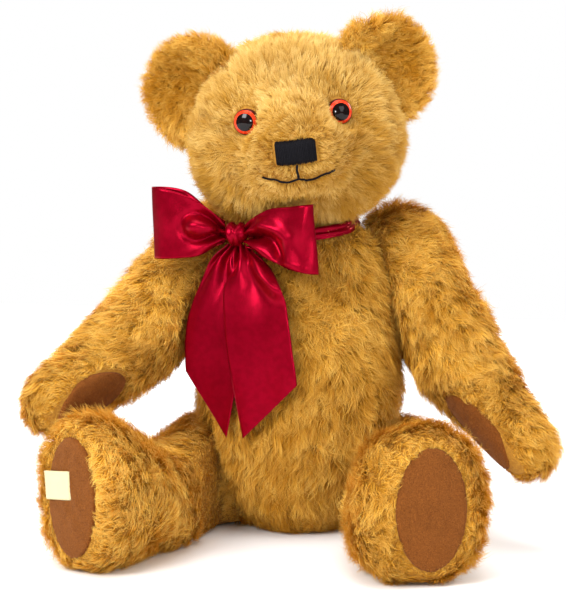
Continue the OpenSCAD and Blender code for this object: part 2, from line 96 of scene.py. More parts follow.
def grid(rows, cols, wrap=False, flip=False, first=0):
    """Faces between rows of vertices, closed round each row where wrap is true."""
    faces = []
    for i in range(rows - 1):
        a, b = first + i * cols, first + (i + 1) * cols
        for j in range(cols if wrap else cols - 1):
            k = (j + 1) % cols
            faces.append((a + j, b + j, b + k, a + k) if flip else (a + j, a + k, b + k, b + j))
    return faces


def apply_modifiers(obj):
    graph = bpy.context.evaluated_depsgraph_get()
    graph.update()
    mesh = bpy.data.meshes.new_from_object(obj.evaluated_get(graph))
    obj.modifiers.clear()
    obj.data = mesh
    mesh.name = obj.name
    mesh.shade_smooth()
    return obj


def coords(obj):
    co = np.zeros(len(obj.data.vertices) * 3)
    obj.data.vertices.foreach_get("co", co)
    return co.reshape(-1, 3)


def set_coords(obj, co):
    obj.data.vertices.foreach_set("co", np.ascontiguousarray(co, np.float32).ravel())
    obj.data.update()


def vertex_normals(obj):
    no = np.zeros(len(obj.data.vertices) * 3)
    obj.data.vertices.foreach_get("normal", no)
    return no.reshape(-1, 3)


def remeshed(name, bm, voxel, smooth):
    """The shape in bm as one closed even mesh. bm is freed."""
    mesh = bpy.data.meshes.new(name)
    bm.to_mesh(mesh)
    bm.free()
    obj = bpy.data.objects.new(name, mesh)
    scene.collection.objects.link(obj)
    mod = obj.modifiers.new("even", "REMESH")
    mod.mode = "VOXEL"
    mod.voxel_size = voxel
    mod = obj.modifiers.new("soft", "SMOOTH")
    mod.factor = 0.5
    mod.iterations = smooth
    return apply_modifiers(obj)


def thicken(obj, thickness):
    mod = obj.modifiers.new("thick", "SOLIDIFY")
    mod.thickness = thickness
    mod.offset = 0
    return apply_modifiers(obj)


def over_tree(*objs):
    bm = bmesh.new()
    for o in objs:
        bm.from_mesh(o.data)
    tree = BVHTree.FromBMesh(bm)
    bm.free()
    return tree


def main_axes(co):
    """The middle of some points, and their long, short and thin directions."""
    mid = co.mean(0)
    return mid, np.linalg.svd(co - mid, full_matrices=False)[2]


def about(p, at, axis):
    """How far points are along an axis from at, and how far from that axis."""
    d = p - at
    high = d @ axis
    return high, np.linalg.norm(d - high[:, None] * axis, axis=1)


def place(obj, mat, body, slot, *cad):
    """Gives a piece its material and body, and hides the CAD nodes that it replaces. slot is not
    used.
    """
    obj.data.materials.append(mat)
    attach(obj, body)
    if cad:
        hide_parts(*cad)
    return obj


def wobble(p, size, seed):
    """Smooth noise, about -1 to 1, whose features are size metres across."""
    g = np.random.default_rng(seed)
    out = np.zeros(len(p))
    for _ in range(7):
        d = unit(g.normal(size=3))
        out += np.sin(p @ d * 2 * math.pi / (size * g.uniform(0.8, 1.7)) + g.uniform(0, 7))
    return out / 3.5


def node_bm(*names):
    bm = bmesh.new()
    for n in names:
        bm.from_mesh(NODES[n].data)
    bmesh.ops.remove_doubles(bm, verts=bm.verts, dist=1e-5)
    return bm


def islands(bm):
    left, found = set(bm.faces), []
    while left:
        stack, part = [left.pop()], []
        while stack:
            f = stack.pop()
            part.append(f)
            for e in f.edges:
                for g in e.link_faces:
                    if g in left:
                        left.remove(g)
                        stack.append(g)
        found.append(part)
    return found


def outer_skin(name, cad, extra=(), voxel=4.5 * MM, smooth=4):
    """The outside of a hollow CAD skin, where a ray outwards meets neither it nor extra."""
    bm = node_bm(cad)
    both = node_bm(cad, *extra)
    tree = BVHTree.FromBMesh(both)
    both.free()
    inner = []
    for f in bm.faces:
        c, n = f.calc_center_median(), f.normal
        if tree.ray_cast(c + n * 4e-4, n)[0] is not None:
            inner.append(f)
    bmesh.ops.delete(bm, geom=inner, context="FACES")
    parts = islands(bm)
    parts.sort(key=lambda part: -sum(f.calc_area() for f in part))
    bmesh.ops.delete(bm, geom=[f for part in parts[1:] for f in part], context="FACES")
    rim = [e for e in bm.edges if e.is_boundary]
    bmesh.ops.holes_fill(bm, edges=rim, sides=0)
    bmesh.ops.triangulate(bm, faces=bm.faces)
    bmesh.ops.recalc_face_normals(bm, faces=bm.faces)
    return remeshed(name, bm, voxel, smooth)


# ---------------------------------------------------------------- materials
def material(name, color, rough=0.6, **sockets):
    m = bpy.data.materials.new(name)
    m.use_nodes = True
    bsdf = m.node_tree.nodes["Principled BSDF"]
    bsdf.inputs["Base Color"].default_value = (*color, 1)
    bsdf.inputs["Roughness"].default_value = rough
    for key, value in sockets.items():
        socket = bsdf.inputs[key.replace("_", " ")]
        socket.default_value = (*value, 1) if isinstance(value, tuple) else value
    return m


def node(m, kind, **values):
    n = m.node_tree.nodes.new(kind)
    for key, value in values.items():
        setattr(n, key, value)
    return n


def link(m, a, b):
    m.node_tree.links.new(a, b)


def bsdf_of(m):
    return m.node_tree.nodes["Principled BSDF"]


def ramp(m, stops, factor=None):
    n = node(m, "ShaderNodeValToRGB")
    elements = n.color_ramp.elements
    while len(elements) < len(stops):
        elements.new(0.5)
    for e, (at, color) in zip(elements, stops):
        e.position = at
        e.color = (*color, 1)
    if factor is not None:
        link(m, factor, n.inputs["Fac"])
    return n.outputs["Color"]


def mix(m, factor, a, b):
    n = node(m, "ShaderNodeMix", data_type="RGBA")
    link(m, factor, n.inputs["Factor"])
    link(m, a, n.inputs["A"])
    link(m, b, n.inputs["B"])
    return n.outputs["Result"]


def texture(m, kind, inputs, **values):
    n = node(m, f"ShaderNodeTex{kind}", **values)
    for key, value in inputs.items():
        n.inputs[key].default_value = value
    link(m, node(m, "ShaderNodeTexCoord").outputs["Object"], n.inputs["Vector"])
    return n.outputs["Fac"]


def noise(m, scale, detail):
    return texture(m, "Noise", {"Scale": scale, "Detail": detail})


def bump(m, height, strength, distance):
    n = node(m, "ShaderNodeBump")
    n.inputs["Strength"].default_value = strength
    n.inputs["Distance"].default_value = distance
    link(m, height, n.inputs["Height"])
    link(m, n.outputs["Normal"], bsdf_of(m).inputs["Normal"])


def base_color(m, color):
    link(m, color, bsdf_of(m).inputs["Base Color"])


def grainy(name, color, scale, detail, stops, relief=None, **sockets):
    """A material whose colour varies with fine noise, as may its height: (strength, metres)."""
    m = material(name, color, **sockets)
    n = noise(m, scale, detail)
    base_color(m, ramp(m, stops, n))
    if relief:
        bump(m, n, *relief)
    return m


def fur_material(name, dark, light):
    """Colour runs from root to tip along u, its darker roots being painted shade, and from dark to
    light strands along v.
    """
    m = material(name, light[2], rough=0.55, Specular_IOR_Level=0.15,
                 Specular_Tint=(1.0, 0.8, 0.5))
    uv = node(m, "ShaderNodeUVMap", uv_map="OFBake")
    split = node(m, "ShaderNodeSeparateXYZ")
    link(m, uv.outputs["UV"], split.inputs["Vector"])
    stops = (0.0, 0.45, 1.0)
    a = ramp(m, list(zip(stops, dark)), split.outputs["X"])
    b = ramp(m, list(zip(stops, light)), split.outputs["X"])
    base_color(m, mix(m, split.outputs["Y"], a, b))
    return m


# ---------------------------------------------------------------- fur
ABOVE_FLOOR = 0.4 * MM  # the least height of a strand
STRAY, STRAY_LENGTH = 0.06, 1.3  # share of the strands that stand out, and by how much


def sample_surface(obj, count, rng):
    mesh = obj.data
    mesh.calc_loop_triangles()
    tri = np.zeros(len(mesh.loop_triangles) * 3, np.int32)
    mesh.loop_triangles.foreach_get("vertices", tri)
    tri = tri.reshape(-1, 3)
    co, no = coords(obj), vertex_normals(obj)
    a, b, c = co[tri[:, 0]], co[tri[:, 1]], co[tri[:, 2]]
    area = np.linalg.norm(np.cross(b - a, c - a), axis=1) / 2
    pick = rng.choice(len(tri), count, p=area / area.sum())
    s, t = np.sqrt(rng.random(count)), rng.random(count)
    w = np.stack([1 - s, s * (1 - t), s * t], 1)[:, :, None]
    p = (co[tri[pick]] * w).sum(1)
    n = unit((no[tri[pick]] * w).sum(1))
    return p, n


def nearest(points, targets):
    tree = KDTree(len(targets))
    for i, q in enumerate(targets):
        tree.insert(q, i)
    tree.balance()
    return np.array([tree.find(q)[1] for q in points])


def strand_mesh(name, curves, width, across, tone):
    """Flat tapering strands: curves is (strands, rings, 3), and the last ring is the tip."""
    count, rings = curves.shape[:2]
    body = rings - 1
    u = np.linspace(0, 1, rings)
    taper = np.array([0.75, 1.0, 0.72, 0.5, 0.3])[:body] if rings > 4 else \
        np.array([0.8, 1.0, 0.62])
    half = (width[:, None] * taper[None, :] / 2)[:, :, None] * across[:, None, :]
    left = curves[:, :body] - half
    verts = np.concatenate([left, curves[:, :body] + half, curves[:, body:]], axis=1)
    verts = verts.reshape(-1, 3)
    verts[:, 2] = np.maximum(verts[:, 2], ABOVE_FLOOR)
    v0, v1 = np.clip(tone - 0.02, 0, 0.96), np.clip(tone + 0.02, 0.04, 1)
    base = np.arange(count) * (2 * body + 1)
    columns, uv_cols, sizes = [], [], []
    for k in range(body - 1):
        columns += [k, body + k, body + k + 1, k + 1]
        uv_cols += [(u[k], 0), (u[k], 1), (u[k + 1], 1), (u[k + 1], 0)]
        sizes.append(4)
    columns += [body - 1, 2 * body - 1, 2 * body]
    uv_cols += [(u[body - 1], 0), (u[body - 1], 1), (1.0, 0.5)]
    sizes.append(3)
    loops = (base[:, None] + np.array(columns)[None, :]).ravel()
    uv_u, uv_s = np.array(uv_cols).T
    uv = np.empty((count, len(columns), 2))
    uv[:, :, 0] = uv_u[None, :]
    uv[:, :, 1] = v0[:, None] + (v1 - v0)[:, None] * uv_s[None, :]
    offsets = np.cumsum([0] + sizes[:-1])
    starts = (np.arange(count)[:, None] * len(columns) + offsets[None, :]).ravel()
    mesh = bpy.data.meshes.new(name)
    mesh.vertices.add(len(verts))
    mesh.vertices.foreach_set("co", verts.astype(np.float32).ravel())
    mesh.loops.add(len(loops))
    mesh.loops.foreach_set("vertex_index", loops.astype(np.int32))
    mesh.polygons.add(len(starts))
    mesh.polygons.foreach_set("loop_start", starts.astype(np.int32))
    layer = mesh.uv_layers.new(name="OFBake")
    layer.data.foreach_set("uv", uv.astype(np.float32).ravel())
    mesh.polygons.foreach_set("use_smooth", np.ones(len(starts), bool))
    mesh.update(calc_edges=True)
    mesh.validate()
    obj = bpy.data.objects.new(name, mesh)
    scene.collection.objects.link(obj)
    return obj


def fur(name, skin, body, count, length, comb, mat, slot, seed, lean, width, clump, keep=None,
        every=16, rings=4, curl=0.9, tone=0.5, spread=0.2, dark=None):
    """Strands on a skin. length, comb, keep and dark are functions of the roots and normals.

    lean is the angle from the normal at root and tip, width is in millimetres, clump is how
    far strands join the one in every that leads them, and tone runs from dark to light.
    dark lowers the tone by place: painted shade, and painted light where it is below zero.
    far strands join the one in every that leads them, and tone runs from dark to light.
    """
    rng = np.random.default_rng(seed)
    p, n = sample_surface(skin, count, rng)
    body_seed = seed % 100
    if keep is not None:
        kept = keep(p, n)
        p, n = p[kept], n[kept]
    count = len(p)
    long = length(p, n) * rng.uniform(0.75, 1.12, count) \
        * np.where(rng.random(count) < STRAY, STRAY_LENGTH, 1.0)
    kept = long > 0.5 * MM
    p, n, long = p[kept], n[kept], long[kept]
    count = len(p)
    guides = rng.choice(count, max(count // every, 1), replace=False)
    mine = nearest(p, p[guides])
    g_noise = rng.normal(size=(len(guides), 3))[mine]
    d = unit(comb(p, n)) + 0.30 * g_noise + 0.20 * rng.normal(size=(count, 3))
    swirl = np.stack([wobble(p, 42 * MM, body_seed + k) for k in (1, 2, 3)], 1)
    eddy = np.stack([wobble(p, 15 * MM, body_seed + k) for k in (4, 5, 6)], 1)
    d = d + 0.6 * swirl + 0.4 * eddy
    d = unit(d - (d * n).sum(1)[:, None] * n)
    side = np.cross(n, d)
    lift = rng.normal(size=len(guides))[mine] * 6 + rng.normal(size=count) * 6 \
        + 9 * wobble(p, 30 * MM, body_seed + 9) + 8 * wobble(p, 13 * MM, body_seed + 10)
    a0 = np.radians(np.clip(lean[0] + lift, 5, 80))
    a1 = np.radians(np.clip(lean[1] + lift, 20, 88))
    wave = rng.uniform(0, 2 * math.pi, len(guides))[mine]
    u = np.linspace(0, 1, rings)
    curves = np.zeros((count, rings, 3))
    curves[:, 0] = p - 0.3 * MM * n
    for k in range(1, rings):
        a = a0 + (a1 - a0) * (k - 0.5) / (rings - 1)
        step = n * np.cos(a)[:, None] + d * np.sin(a)[:, None]
        curves[:, k] = curves[:, k - 1] + step * (long / (rings - 1))[:, None]
    swing = curl * MM * (np.sin(wave[:, None] + u[None, :] * 5.5) - np.sin(wave)[:, None])
    curves += swing[:, :, None] * (side[:, None, :]) * (long / (12 * MM))[:, None, None]
    lead = guides[mine]
    target = curves[lead] + (p - p[lead])[:, None, :] * (1 - 0.85 * u)[None, :, None]
    weight = clump * (u * u * (3 - 2 * u))[None, :, None]
    curves = curves * (1 - weight) + target * weight
    roll = rng.uniform(-0.9, 0.9, count)
    across = side * np.cos(roll)[:, None] + n * np.sin(roll)[:, None]
    shade = tone + 0.16 * wobble(p, 38 * MM, body_seed + 20) \
        + 0.20 * wobble(p, 11 * MM, body_seed + 21)
    shade = shade + spread * 0.5 * rng.normal(size=len(guides))[mine] \
        + spread * 0.4 * rng.normal(size=count)
    # painted shade by place on the skin, and painted light where dark is below zero
    if dark is not None:
        shade = shade - dark(p, n)
    obj = strand_mesh(name, curves, width * MM * rng.uniform(0.7, 1.25, count), across,
                      np.clip(shade, 0.02, 0.98))
    return place(obj, mat, body, slot)


# ---------------------------------------------------------------- frames of the moving parts
joint_of = {j["name"]: j for j in frame["joints"]}


def centre(name):
    lo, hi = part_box(name)
    return (lo + hi) / 2


neck_axis = Vector(joint_of["neck_turn"]["axis"]).normalized()
neck_at = Vector(joint_of["neck_turn"]["pos_m"])
head_x = (centre("eye_left") - centre("eye_right")).normalized()
head_y = neck_axis.cross(head_x).normalized()
HEAD = Matrix((
    (head_x.x, head_y.x, neck_axis.x, neck_at.x),
    (head_x.y, head_y.y, neck_axis.y, neck_at.y),
    (head_x.z, head_y.z, neck_axis.z, neck_at.z), (0, 0, 0, 1)))
HEAD_INV = np.array(HEAD.inverted())
HEAD = np.array(HEAD)


def to_head(p):
    return p @ HEAD_INV[:3, :3].T + HEAD_INV[:3, 3]


def from_head(p):
    return p @ HEAD[:3, :3].T + HEAD[:3, 3]


def head_dir(v):
    return v @ HEAD[:3, :3].T


# ---------------------------------------------------------------- fur colours
# root, middle and tip colours of dark and light strands; the darker roots are painted shade
GOLD_DARK = ((0.18, 0.058, 0.002), (0.42, 0.155, 0.005), (0.58, 0.25, 0.012))
GOLD_LIGHT = ((0.42, 0.16, 0.005), (0.90, 0.47, 0.045), (0.98, 0.69, 0.18))
gold = fur_material("mohair_gold", GOLD_DARK, GOLD_LIGHT)
face_gold = fur_material(
    "mohair_face", ((0.22, 0.085, 0.004), (0.46, 0.20, 0.012), (0.60, 0.31, 0.035)),
    ((0.46, 0.22, 0.025), (0.86, 0.54, 0.12), (0.94, 0.71, 0.28)))


# the backing under the pile: its own colour, made darker than the pile as painted shade for the
# depth of the fur
backing_and_depth_shade = grainy("mohair_ground", (0.3, 0.15, 0.04), 900, 4,
                [(0.3, (0.34, 0.14, 0.007)), (0.7, (0.52, 0.25, 0.02))], (0.6, 0.6 * MM),
                rough=0.9)

# ---------------------------------------------------------------- stuffed skins
SKINS = [
    ("torso_skin", "torso_cover", (), "torso", 5 * MM),
    ("head_skin", "head_cover", ("eye_left", "eye_right"), "head", 3.5 * MM),
    ("arm_left_skin", "arm_left_cover", ("paw_left_pad",), "arm_left", 4.5 * MM),
    ("arm_right_skin", "arm_right_cover", ("paw_right_pad",), "arm_right", 4.5 * MM),
    ("leg_left_skin", "leg_left_cover", ("foot_left_pad",), "leg_left", 4.5 * MM),
    ("leg_right_skin", "leg_right_cover", ("foot_right_pad",), "leg_right", 4.5 * MM),
]
EAR_SIZE = 0.94  # of the CAD ear
skins = {}
for name, cad, extra, body, voxel in SKINS:
    skins[name] = outer_skin(name, cad, extra, voxel)
for side in ("left", "right"):
    ear = outer_skin(f"ear_{side}_skin", f"ear_{side}", (), 2.2 * MM, 3)
    co = coords(ear)
    root = co.mean(0) + (coords(skins["head_skin"]).mean(0) - co.mean(0)) * 0.3
    set_coords(ear, root + (co - root) * EAR_SIZE)
    skins[f"ear_{side}_skin"] = ear

JOINTS = {j["child"]: (np.array(Vector(j["pos_m"])), np.array(Vector(j["axis"]).normalized()))
          for j in frame["joints"]}
SAG = {"arm_left": (-3.0, 0, -1.8), "arm_right": (2.6, 0, -2.8)}  # millimetres


def from_joint(p, child):
    """How far points are from the plane of a joint, and from its middle."""
    at, axis = JOINTS[child]
    return np.abs((p - at) @ axis), np.linalg.norm(p - at, axis=1)


def sagged(limb, p):
    """An arm droops a little further from its shoulder than the CAD arm does."""
    away = np.linalg.norm(p - JOINTS[limb][0], axis=-1)
    far = np.clip((away - 30 * MM) / (50 * MM), 0, 1)
    return p + far[..., None] * np.array(SAG[limb]) * MM


# the body narrows between the thighs, and each thigh's inner end is a dome in its side
BASE_HEIGHT, BASE_IN, BASE_BACK = 66 * MM, 0.42, 0.22
THIGH_R, THIGH_DOME = 33.5 * MM, 19 * MM
SOLE_GAP, SOLE_SINK, LEG_REACH = 1.2 * MM, 9 * MM, 118 * MM
CALF = 15 * MM
co = coords(skins["torso_skin"])
low = np.clip(1 - co[:, 2] / BASE_HEIGHT, 0, 1)
co[:, 0] *= 1 - BASE_IN * low * low * (3 - 2 * low)
co[:, 1] *= 1 - BASE_BACK * np.clip(1 - co[:, 2] / (34 * MM), 0, 1) ** 1.8
set_coords(skins["torso_skin"], co)
for child, (at, axis) in JOINTS.items():
    if child.startswith("leg"):
        co = coords(skins[f"{child}_skin"])
        if (co.mean(0) - at) @ axis < 0:
            axis = -axis
        high, r = about(co, at, axis)
        r = r / THIGH_R
        dome = THIGH_DOME * np.sqrt(np.clip(1 - r * r, 0, 1)) * np.clip(1 - high / (9 * MM), 0, 1)
        set_coords(skins[f"{child}_skin"], co - dome[:, None] * axis)

# the undersides of the legs lie on the floor, but for the heels
for limb in ("leg_left", "leg_right"):
    skin = skins[f"{limb}_skin"]
    co, no = coords(skin), vertex_normals(skin)
    sink = np.clip(co[:, 2] - SOLE_GAP, 0, SOLE_SINK) * np.clip(-no[:, 2] * 1.6 - 0.1, 0, 1) \
        * np.clip((34 * MM - co[:, 2]) / (14 * MM), 0, 1)
    sink *= np.clip((LEG_REACH - from_joint(co, limb)[1]) / (25 * MM), 0, 1)
    co[:, 2] -= sink
    set_coords(skin, co)

# the calf of the left leg is fuller on its inner side
co, no = coords(skins["leg_left_skin"]), vertex_normals(skins["leg_left_skin"])
along = np.clip((-co[:, 1] - 50 * MM) / (35 * MM), 0, 1) \
    * np.clip((co[:, 1] + 172 * MM) / (14 * MM), 0, 1)
co[:, 0] -= CALF * along * np.clip(-no[:, 0], 0, 1) ** 1.5 \
    * np.clip(1 - co[:, 2] / (95 * MM), 0, 1) ** 0.5
set_coords(skins["leg_left_skin"], co)

for limb in SAG:
    set_coords(skins[f"{limb}_skin"], sagged(limb, coords(skins[f"{limb}_skin"])))


def puff(objs, cap, frames):
    """Cloth under pressure, so the skins swell and pucker a little, but not at a joint."""
    rest = {o.name: coords(o) for o in objs}
    for o in objs:
        mod = o.modifiers.new("cloth", "CLOTH")
        s = mod.settings
        s.quality = 4
        s.use_pressure = True
        s.uniform_pressure_force = 4
        s.effector_weights.gravity = 0
    for f in range(1, frames + 1):
        scene.frame_set(f)
    graph = bpy.context.evaluated_depsgraph_get()
    for o in objs:
        moved = np.zeros(len(o.data.vertices) * 3)
        o.evaluated_get(graph).data.vertices.foreach_get("co", moved)
        start = rest[o.name]
        shift = moved.reshape(-1, 3) - start
        size = np.linalg.norm(shift, axis=1, keepdims=True)
        room = np.full(len(start), cap)
        for child in JOINTS:
            if o.name.startswith(("torso", child)):
                away, radial = from_joint(start, child)
                held = np.minimum(room, cap * np.clip(away / 0.02 - 0.2, 0, 1))
                room = np.where(radial < 70 * MM, held, room)
        room = np.minimum(room, np.clip(start[:, 2] - 1 * MM, 0, cap))
        scale = np.minimum(1, room[:, None] / np.maximum(size, 1e-9))
        o.modifiers.clear()
        set_coords(o, start + np.nan_to_num(shift * scale))
    scene.frame_set(1)


SWELL, FRAMES = 2.0 * MM, 12
puff([skins[n] for n in skins if not n.startswith(("ear", "head"))], SWELL, FRAMES)

for name, cad, _, body, _ in SKINS:
    place(skins[name], backing_and_depth_shade, body, "mohair_plush", cad, cad.replace("_cover", "_stuffing"))
for side in ("left", "right"):
    ear = place(skins[f"ear_{side}_skin"], backing_and_depth_shade, "head", "mohair_plush", f"ear_{side}")

# ---------------------------------------------------------------- satin ribbon
def satin_material():
    m = grainy("crimson_satin", (0.28, 0.0, 0.010), 260, 2,
               [(0.35, (0.225, 0.0, 0.006)), (0.65, (0.27, 0.0001, 0.009))], rough=0.29,
               Metallic=0.6, Specular_IOR_Level=0.5, Specular_Tint=(1.0, 0.12, 0.38))
    bump(m, texture(m, "Wave", {"Scale": 900, "Distortion": 1.5}), 0.12, 0.1 * MM)
    return m


satin = satin_material()


def spline(rows, count):
    """Catmull-Rom through rows of numbers."""
    rows = np.asarray(rows, float)
    steps = np.linalg.norm(np.diff(rows[:, :6], axis=0), axis=1) + 1e-6
    at = np.concatenate([[0], np.cumsum(steps)])
    t = np.linspace(0, at[-1], count)
    slopes = np.gradient(rows, at, axis=0)
    i = np.clip(np.searchsorted(at, t, side="right") - 1, 0, len(rows) - 2)
    h = (at[i + 1] - at[i])[:, None]
    u = ((t - at[i]) / h[:, 0])[:, None]
    return (rows[i] * (2 * u**3 - 3 * u**2 + 1) + slopes[i] * h * (u**3 - 2 * u**2 + u)
            + rows[i + 1] * (3 * u**2 - 2 * u**3) + slopes[i + 1] * h * (u**3 - u**2))


RIBBON_THICK = 0.35 * MM


def ribbon(name, cad, stations, across=30, along=110, extra=None):
    """Stations are [edge A, edge B, fold depth, folds, phase], in millimetres."""
    rows = [[*a, *b, *rest] for a, b, *rest in stations]
    r = spline(rows, along)
    a, b, depth, folds, phase = r[:, 0:3], r[:, 3:6], r[:, 6], r[:, 7], r[:, 8]
    mid, half = (a + b) / 2, (b - a) / 2
    tangent = np.gradient(mid, axis=0)
    n = unit(np.cross(half, tangent))
    v = np.linspace(-1, 1, across)
    wave = np.sin(folds[:, None] * math.pi * v[None, :] + phase[:, None])
    ease = 1 - 0.35 * v[None, :] ** 4
    p = mid[:, None] + half[:, None] * v[None, :, None] \
        + n[:, None] * (depth[:, None] * wave * ease)[:, :, None]
    if extra is not None:
        u = np.linspace(0, 1, along)
        p = p + n[:, None] * extra(u[:, None], v[None, :])[:, :, None]
    obj = new_object(name, p.reshape(-1, 3) * MM, grid(along, across))
    return place(thicken(obj, RIBBON_THICK), satin, "torso", "crimson_satin", cad)


tail_back = ribbon("bow_tail_right_satin", "bow_tail_right", [
    [(-31, -47.5, 172), (-24, -48, 171), 2.0, 3, 1],
    [(-40, -51, 164), (-23.7, -52, 162), 2.2, 2.5, 1],
    [(-47.6, -53, 148.6), (-18, -56, 149), 1.8, 1.8, 1],
    [(-53.6, -54, 131), (-16.5, -60, 132), 0.9, 1.4, 1],
    [(-55.3, -55.5, 116), (-18.6, -61.5, 115), 0.5, 1, 1],
    [(-55.2, -56, 105), (-21.5, -62, 96), 0.4, 1, 1],
    [(-54.9, -56, 97.9), (-28, -62.5, 60.5), 0.3, 1, 1]])


RUN, HALF_WIDTH = 84, 17  # millimetres of ribbon for a relief's u = 1 and v = 1


def ridge(path, height, width):
    """Relief that follows a path of (u, v), in millimetres."""
    path = np.array(path) * [RUN, HALF_WIDTH]

    def relief(u, v):
        x, y = np.broadcast_arrays(u * RUN, v * HALF_WIDTH)
        best = np.full(x.shape, 1e9)
        for (x0, y0), (x1, y1) in zip(path[:-1], path[1:]):
            t = ((x - x0) * (x1 - x0) + (y - y0) * (y1 - y0)) / ((x1 - x0)**2 + (y1 - y0)**2)
            t = np.clip(t, 0, 1)
            best = np.minimum(best, np.hypot(x - x0 - t * (x1 - x0), y - y0 - t * (y1 - y0)))
        return height * np.exp(-(best / width) ** 2)
    return relief


def dimple(u, v):
    """A rolled oval hollow with a raised lip beside the knot."""
    x, y = u * RUN - 15.0, v * HALF_WIDTH - 1.5
    slant = math.radians(-14)
    x, y = x * math.cos(slant) + y * math.sin(slant), y * math.cos(slant) - x * math.sin(slant)
    rho = np.hypot(x / 9.6, y / 7.2)
    bowl = 6.5 / (1 + np.exp((rho - 0.8) * 8))
    toward_knot = 1 / (1 + np.exp((x + 5) * 0.8))
    lip = 1.7 * np.exp(-((rho - 1.15) / 0.24) ** 2)
    return bowl - lip * (1 - 0.8 * toward_knot)


S_FOLD = ridge([(0.06, 0.55), (0.13, 0.75), (0.19, 0.35), (0.27, 0.15), (0.33, -0.1),
                (0.36, -0.8)], 3.2, 3.6)
S_HOLLOW = ridge([(0.04, -0.1), (0.13, -0.12), (0.22, -0.3), (0.28, -0.7)], 4.0, 3.4)


def curl(u, v):
    front = 1 / (1 + np.exp((u - 0.44) * 60))
    return (S_HOLLOW(u, v) - S_FOLD(u, v)) * front


TAIL_ROLL = ridge([(0.02, 0.05), (0.12, 0.1), (0.22, 0.35), (0.31, 0.75), (0.33, 1.2)], 3.4, 4.2)
TAIL_TUCK = ridge([(0.05, 0.6), (0.15, 0.9), (0.2, 1.1)], 3.0, 3.0)


def roll(u, v):
    return TAIL_TUCK(u, v) - TAIL_ROLL(u, v)


tail_front = ribbon("bow_tail_left_satin", "bow_tail_left", [
    [(-26, -49, 172), (-19, -49, 171.5), 2.5, 3, 0],
    [(-26.4, -57, 160), (-6.7, -60, 164), 3.0, 2.0, 0.6],
    [(-30, -61.5, 147), (6.4, -64, 148), 1.2, 1.5, 1.2],
    [(-28.4, -65, 130), (10.5, -67, 131), 0.3, 1.2, 1.5],
    [(-25.8, -67, 109), (13.6, -68, 111), 0.2, 1.0, 1.6],
    [(-22, -67.5, 88), (15.4, -68.5, 101), 0.4, 1, 1.6],
    [(-16.6, -67.5, 61.4), (16.2, -68.5, 93.8), 0.4, 1, 1.6]], extra=roll)


loop_right = ribbon("bow_loop_right_satin", "bow_loop_right", [
    [(-33, -51, 173), (-33, -51, 184), 3.0, 3, 0],
    [(-39, -56, 169.5), (-37.5, -56, 190.5), 2.2, 2.4, 0.3],
    [(-45, -59.5, 166.2), (-43, -59.5, 195.6), 1.2, 2, 0.5],
    [(-57, -61.5, 164.4), (-56, -61.5, 202), 0.5, 1.5, 0.8],
    [(-70, -60.5, 163.7), (-71.3, -60.5, 205.2), 0.2, 1, 0],
    [(-73.6, -56.5, 163.8), (-75, -56.5, 205.4), 0.1, 1, 0],
    [(-70, -52.5, 164), (-71, -52.5, 205.4), 0.2, 1, 0],
    [(-57, -51, 166), (-56, -51, 203), 0.5, 1.5, 0.8],
    [(-44, -47.5, 169.5), (-43, -47.5, 192), 1.4, 2, 0.4],
    [(-34, -45, 173), (-34, -45, 185), 2.6, 3, 0]], extra=dimple)
loop_left = ribbon("bow_loop_left_satin", "bow_loop_left", [
    [(-19, -51, 171), (-19, -51, 183), 3.2, 3, 2.6],
    [(-12, -57, 168.3), (-12, -57.5, 189), 2.4, 2.2, 2.8],
    [(-4, -61, 165.5), (-4, -62, 193.5), 1.4, 1.6, 3],
    [(8.2, -65, 161.2), (11, -66, 195.8), 0.9, 1.3, 3],
    [(21, -67.5, 157.8), (19.5, -68, 197), 0.5, 1.2, 3],
    [(27.6, -64.5, 157.3), (24.4, -65, 197.4), 0.2, 1, 0],
    [(25, -60, 158), (21.5, -60, 197), 0.2, 1, 0],
    [(10, -56.5, 162), (9, -57, 194.5), 0.6, 1.4, 0],
    [(-6, -52, 167), (-6, -52, 190), 1.6, 2, 0],
    [(-18, -46.5, 171), (-18, -46.5, 184), 2.6, 3, 0]], extra=curl)


def make_knot():
    """A short turn of ribbon drawn tight: two lobes above, drawn to a point below."""
    rows, cols = 40, 56
    verts = []
    for i in range(rows):
        phi = math.pi * (i + 0.5) / rows
        for j in range(cols):
            th = 2 * math.pi * j / cols
            x, y, z = (math.sin(phi) * math.sin(th), -math.sin(phi) * math.cos(th),
                       math.cos(phi))
            wide = 7.0 * (1 - 0.30 * max(0, -z) ** 1.5)
            notch = 2.6 * math.exp(-(x / 0.26) ** 2) * max(0, z)
            pleat = 0.55 * math.sin(9 * x + 2.2 * z) * (1 - z * z)
            crease = 0.9 * math.exp(-((x - 0.1 - 0.15 * z) / 0.10) ** 2) * (y < 0)
            r = 1 + (pleat - crease) / 9
            verts.append(((-25.6 + x * wide * r) * MM, (-50.5 + y * 7.6 * r) * MM,
                          (178.6 + z * 7.8 * r - notch) * MM))
    faces = grid(rows, cols, wrap=True, flip=True)
    faces += [tuple(range(cols)), tuple(reversed(range((rows - 1) * cols, rows * cols)))]
    return place(new_object("bow_knot_satin", verts, faces), satin, "torso", "crimson_satin",
                 "bow_knot")


knot = make_knot()


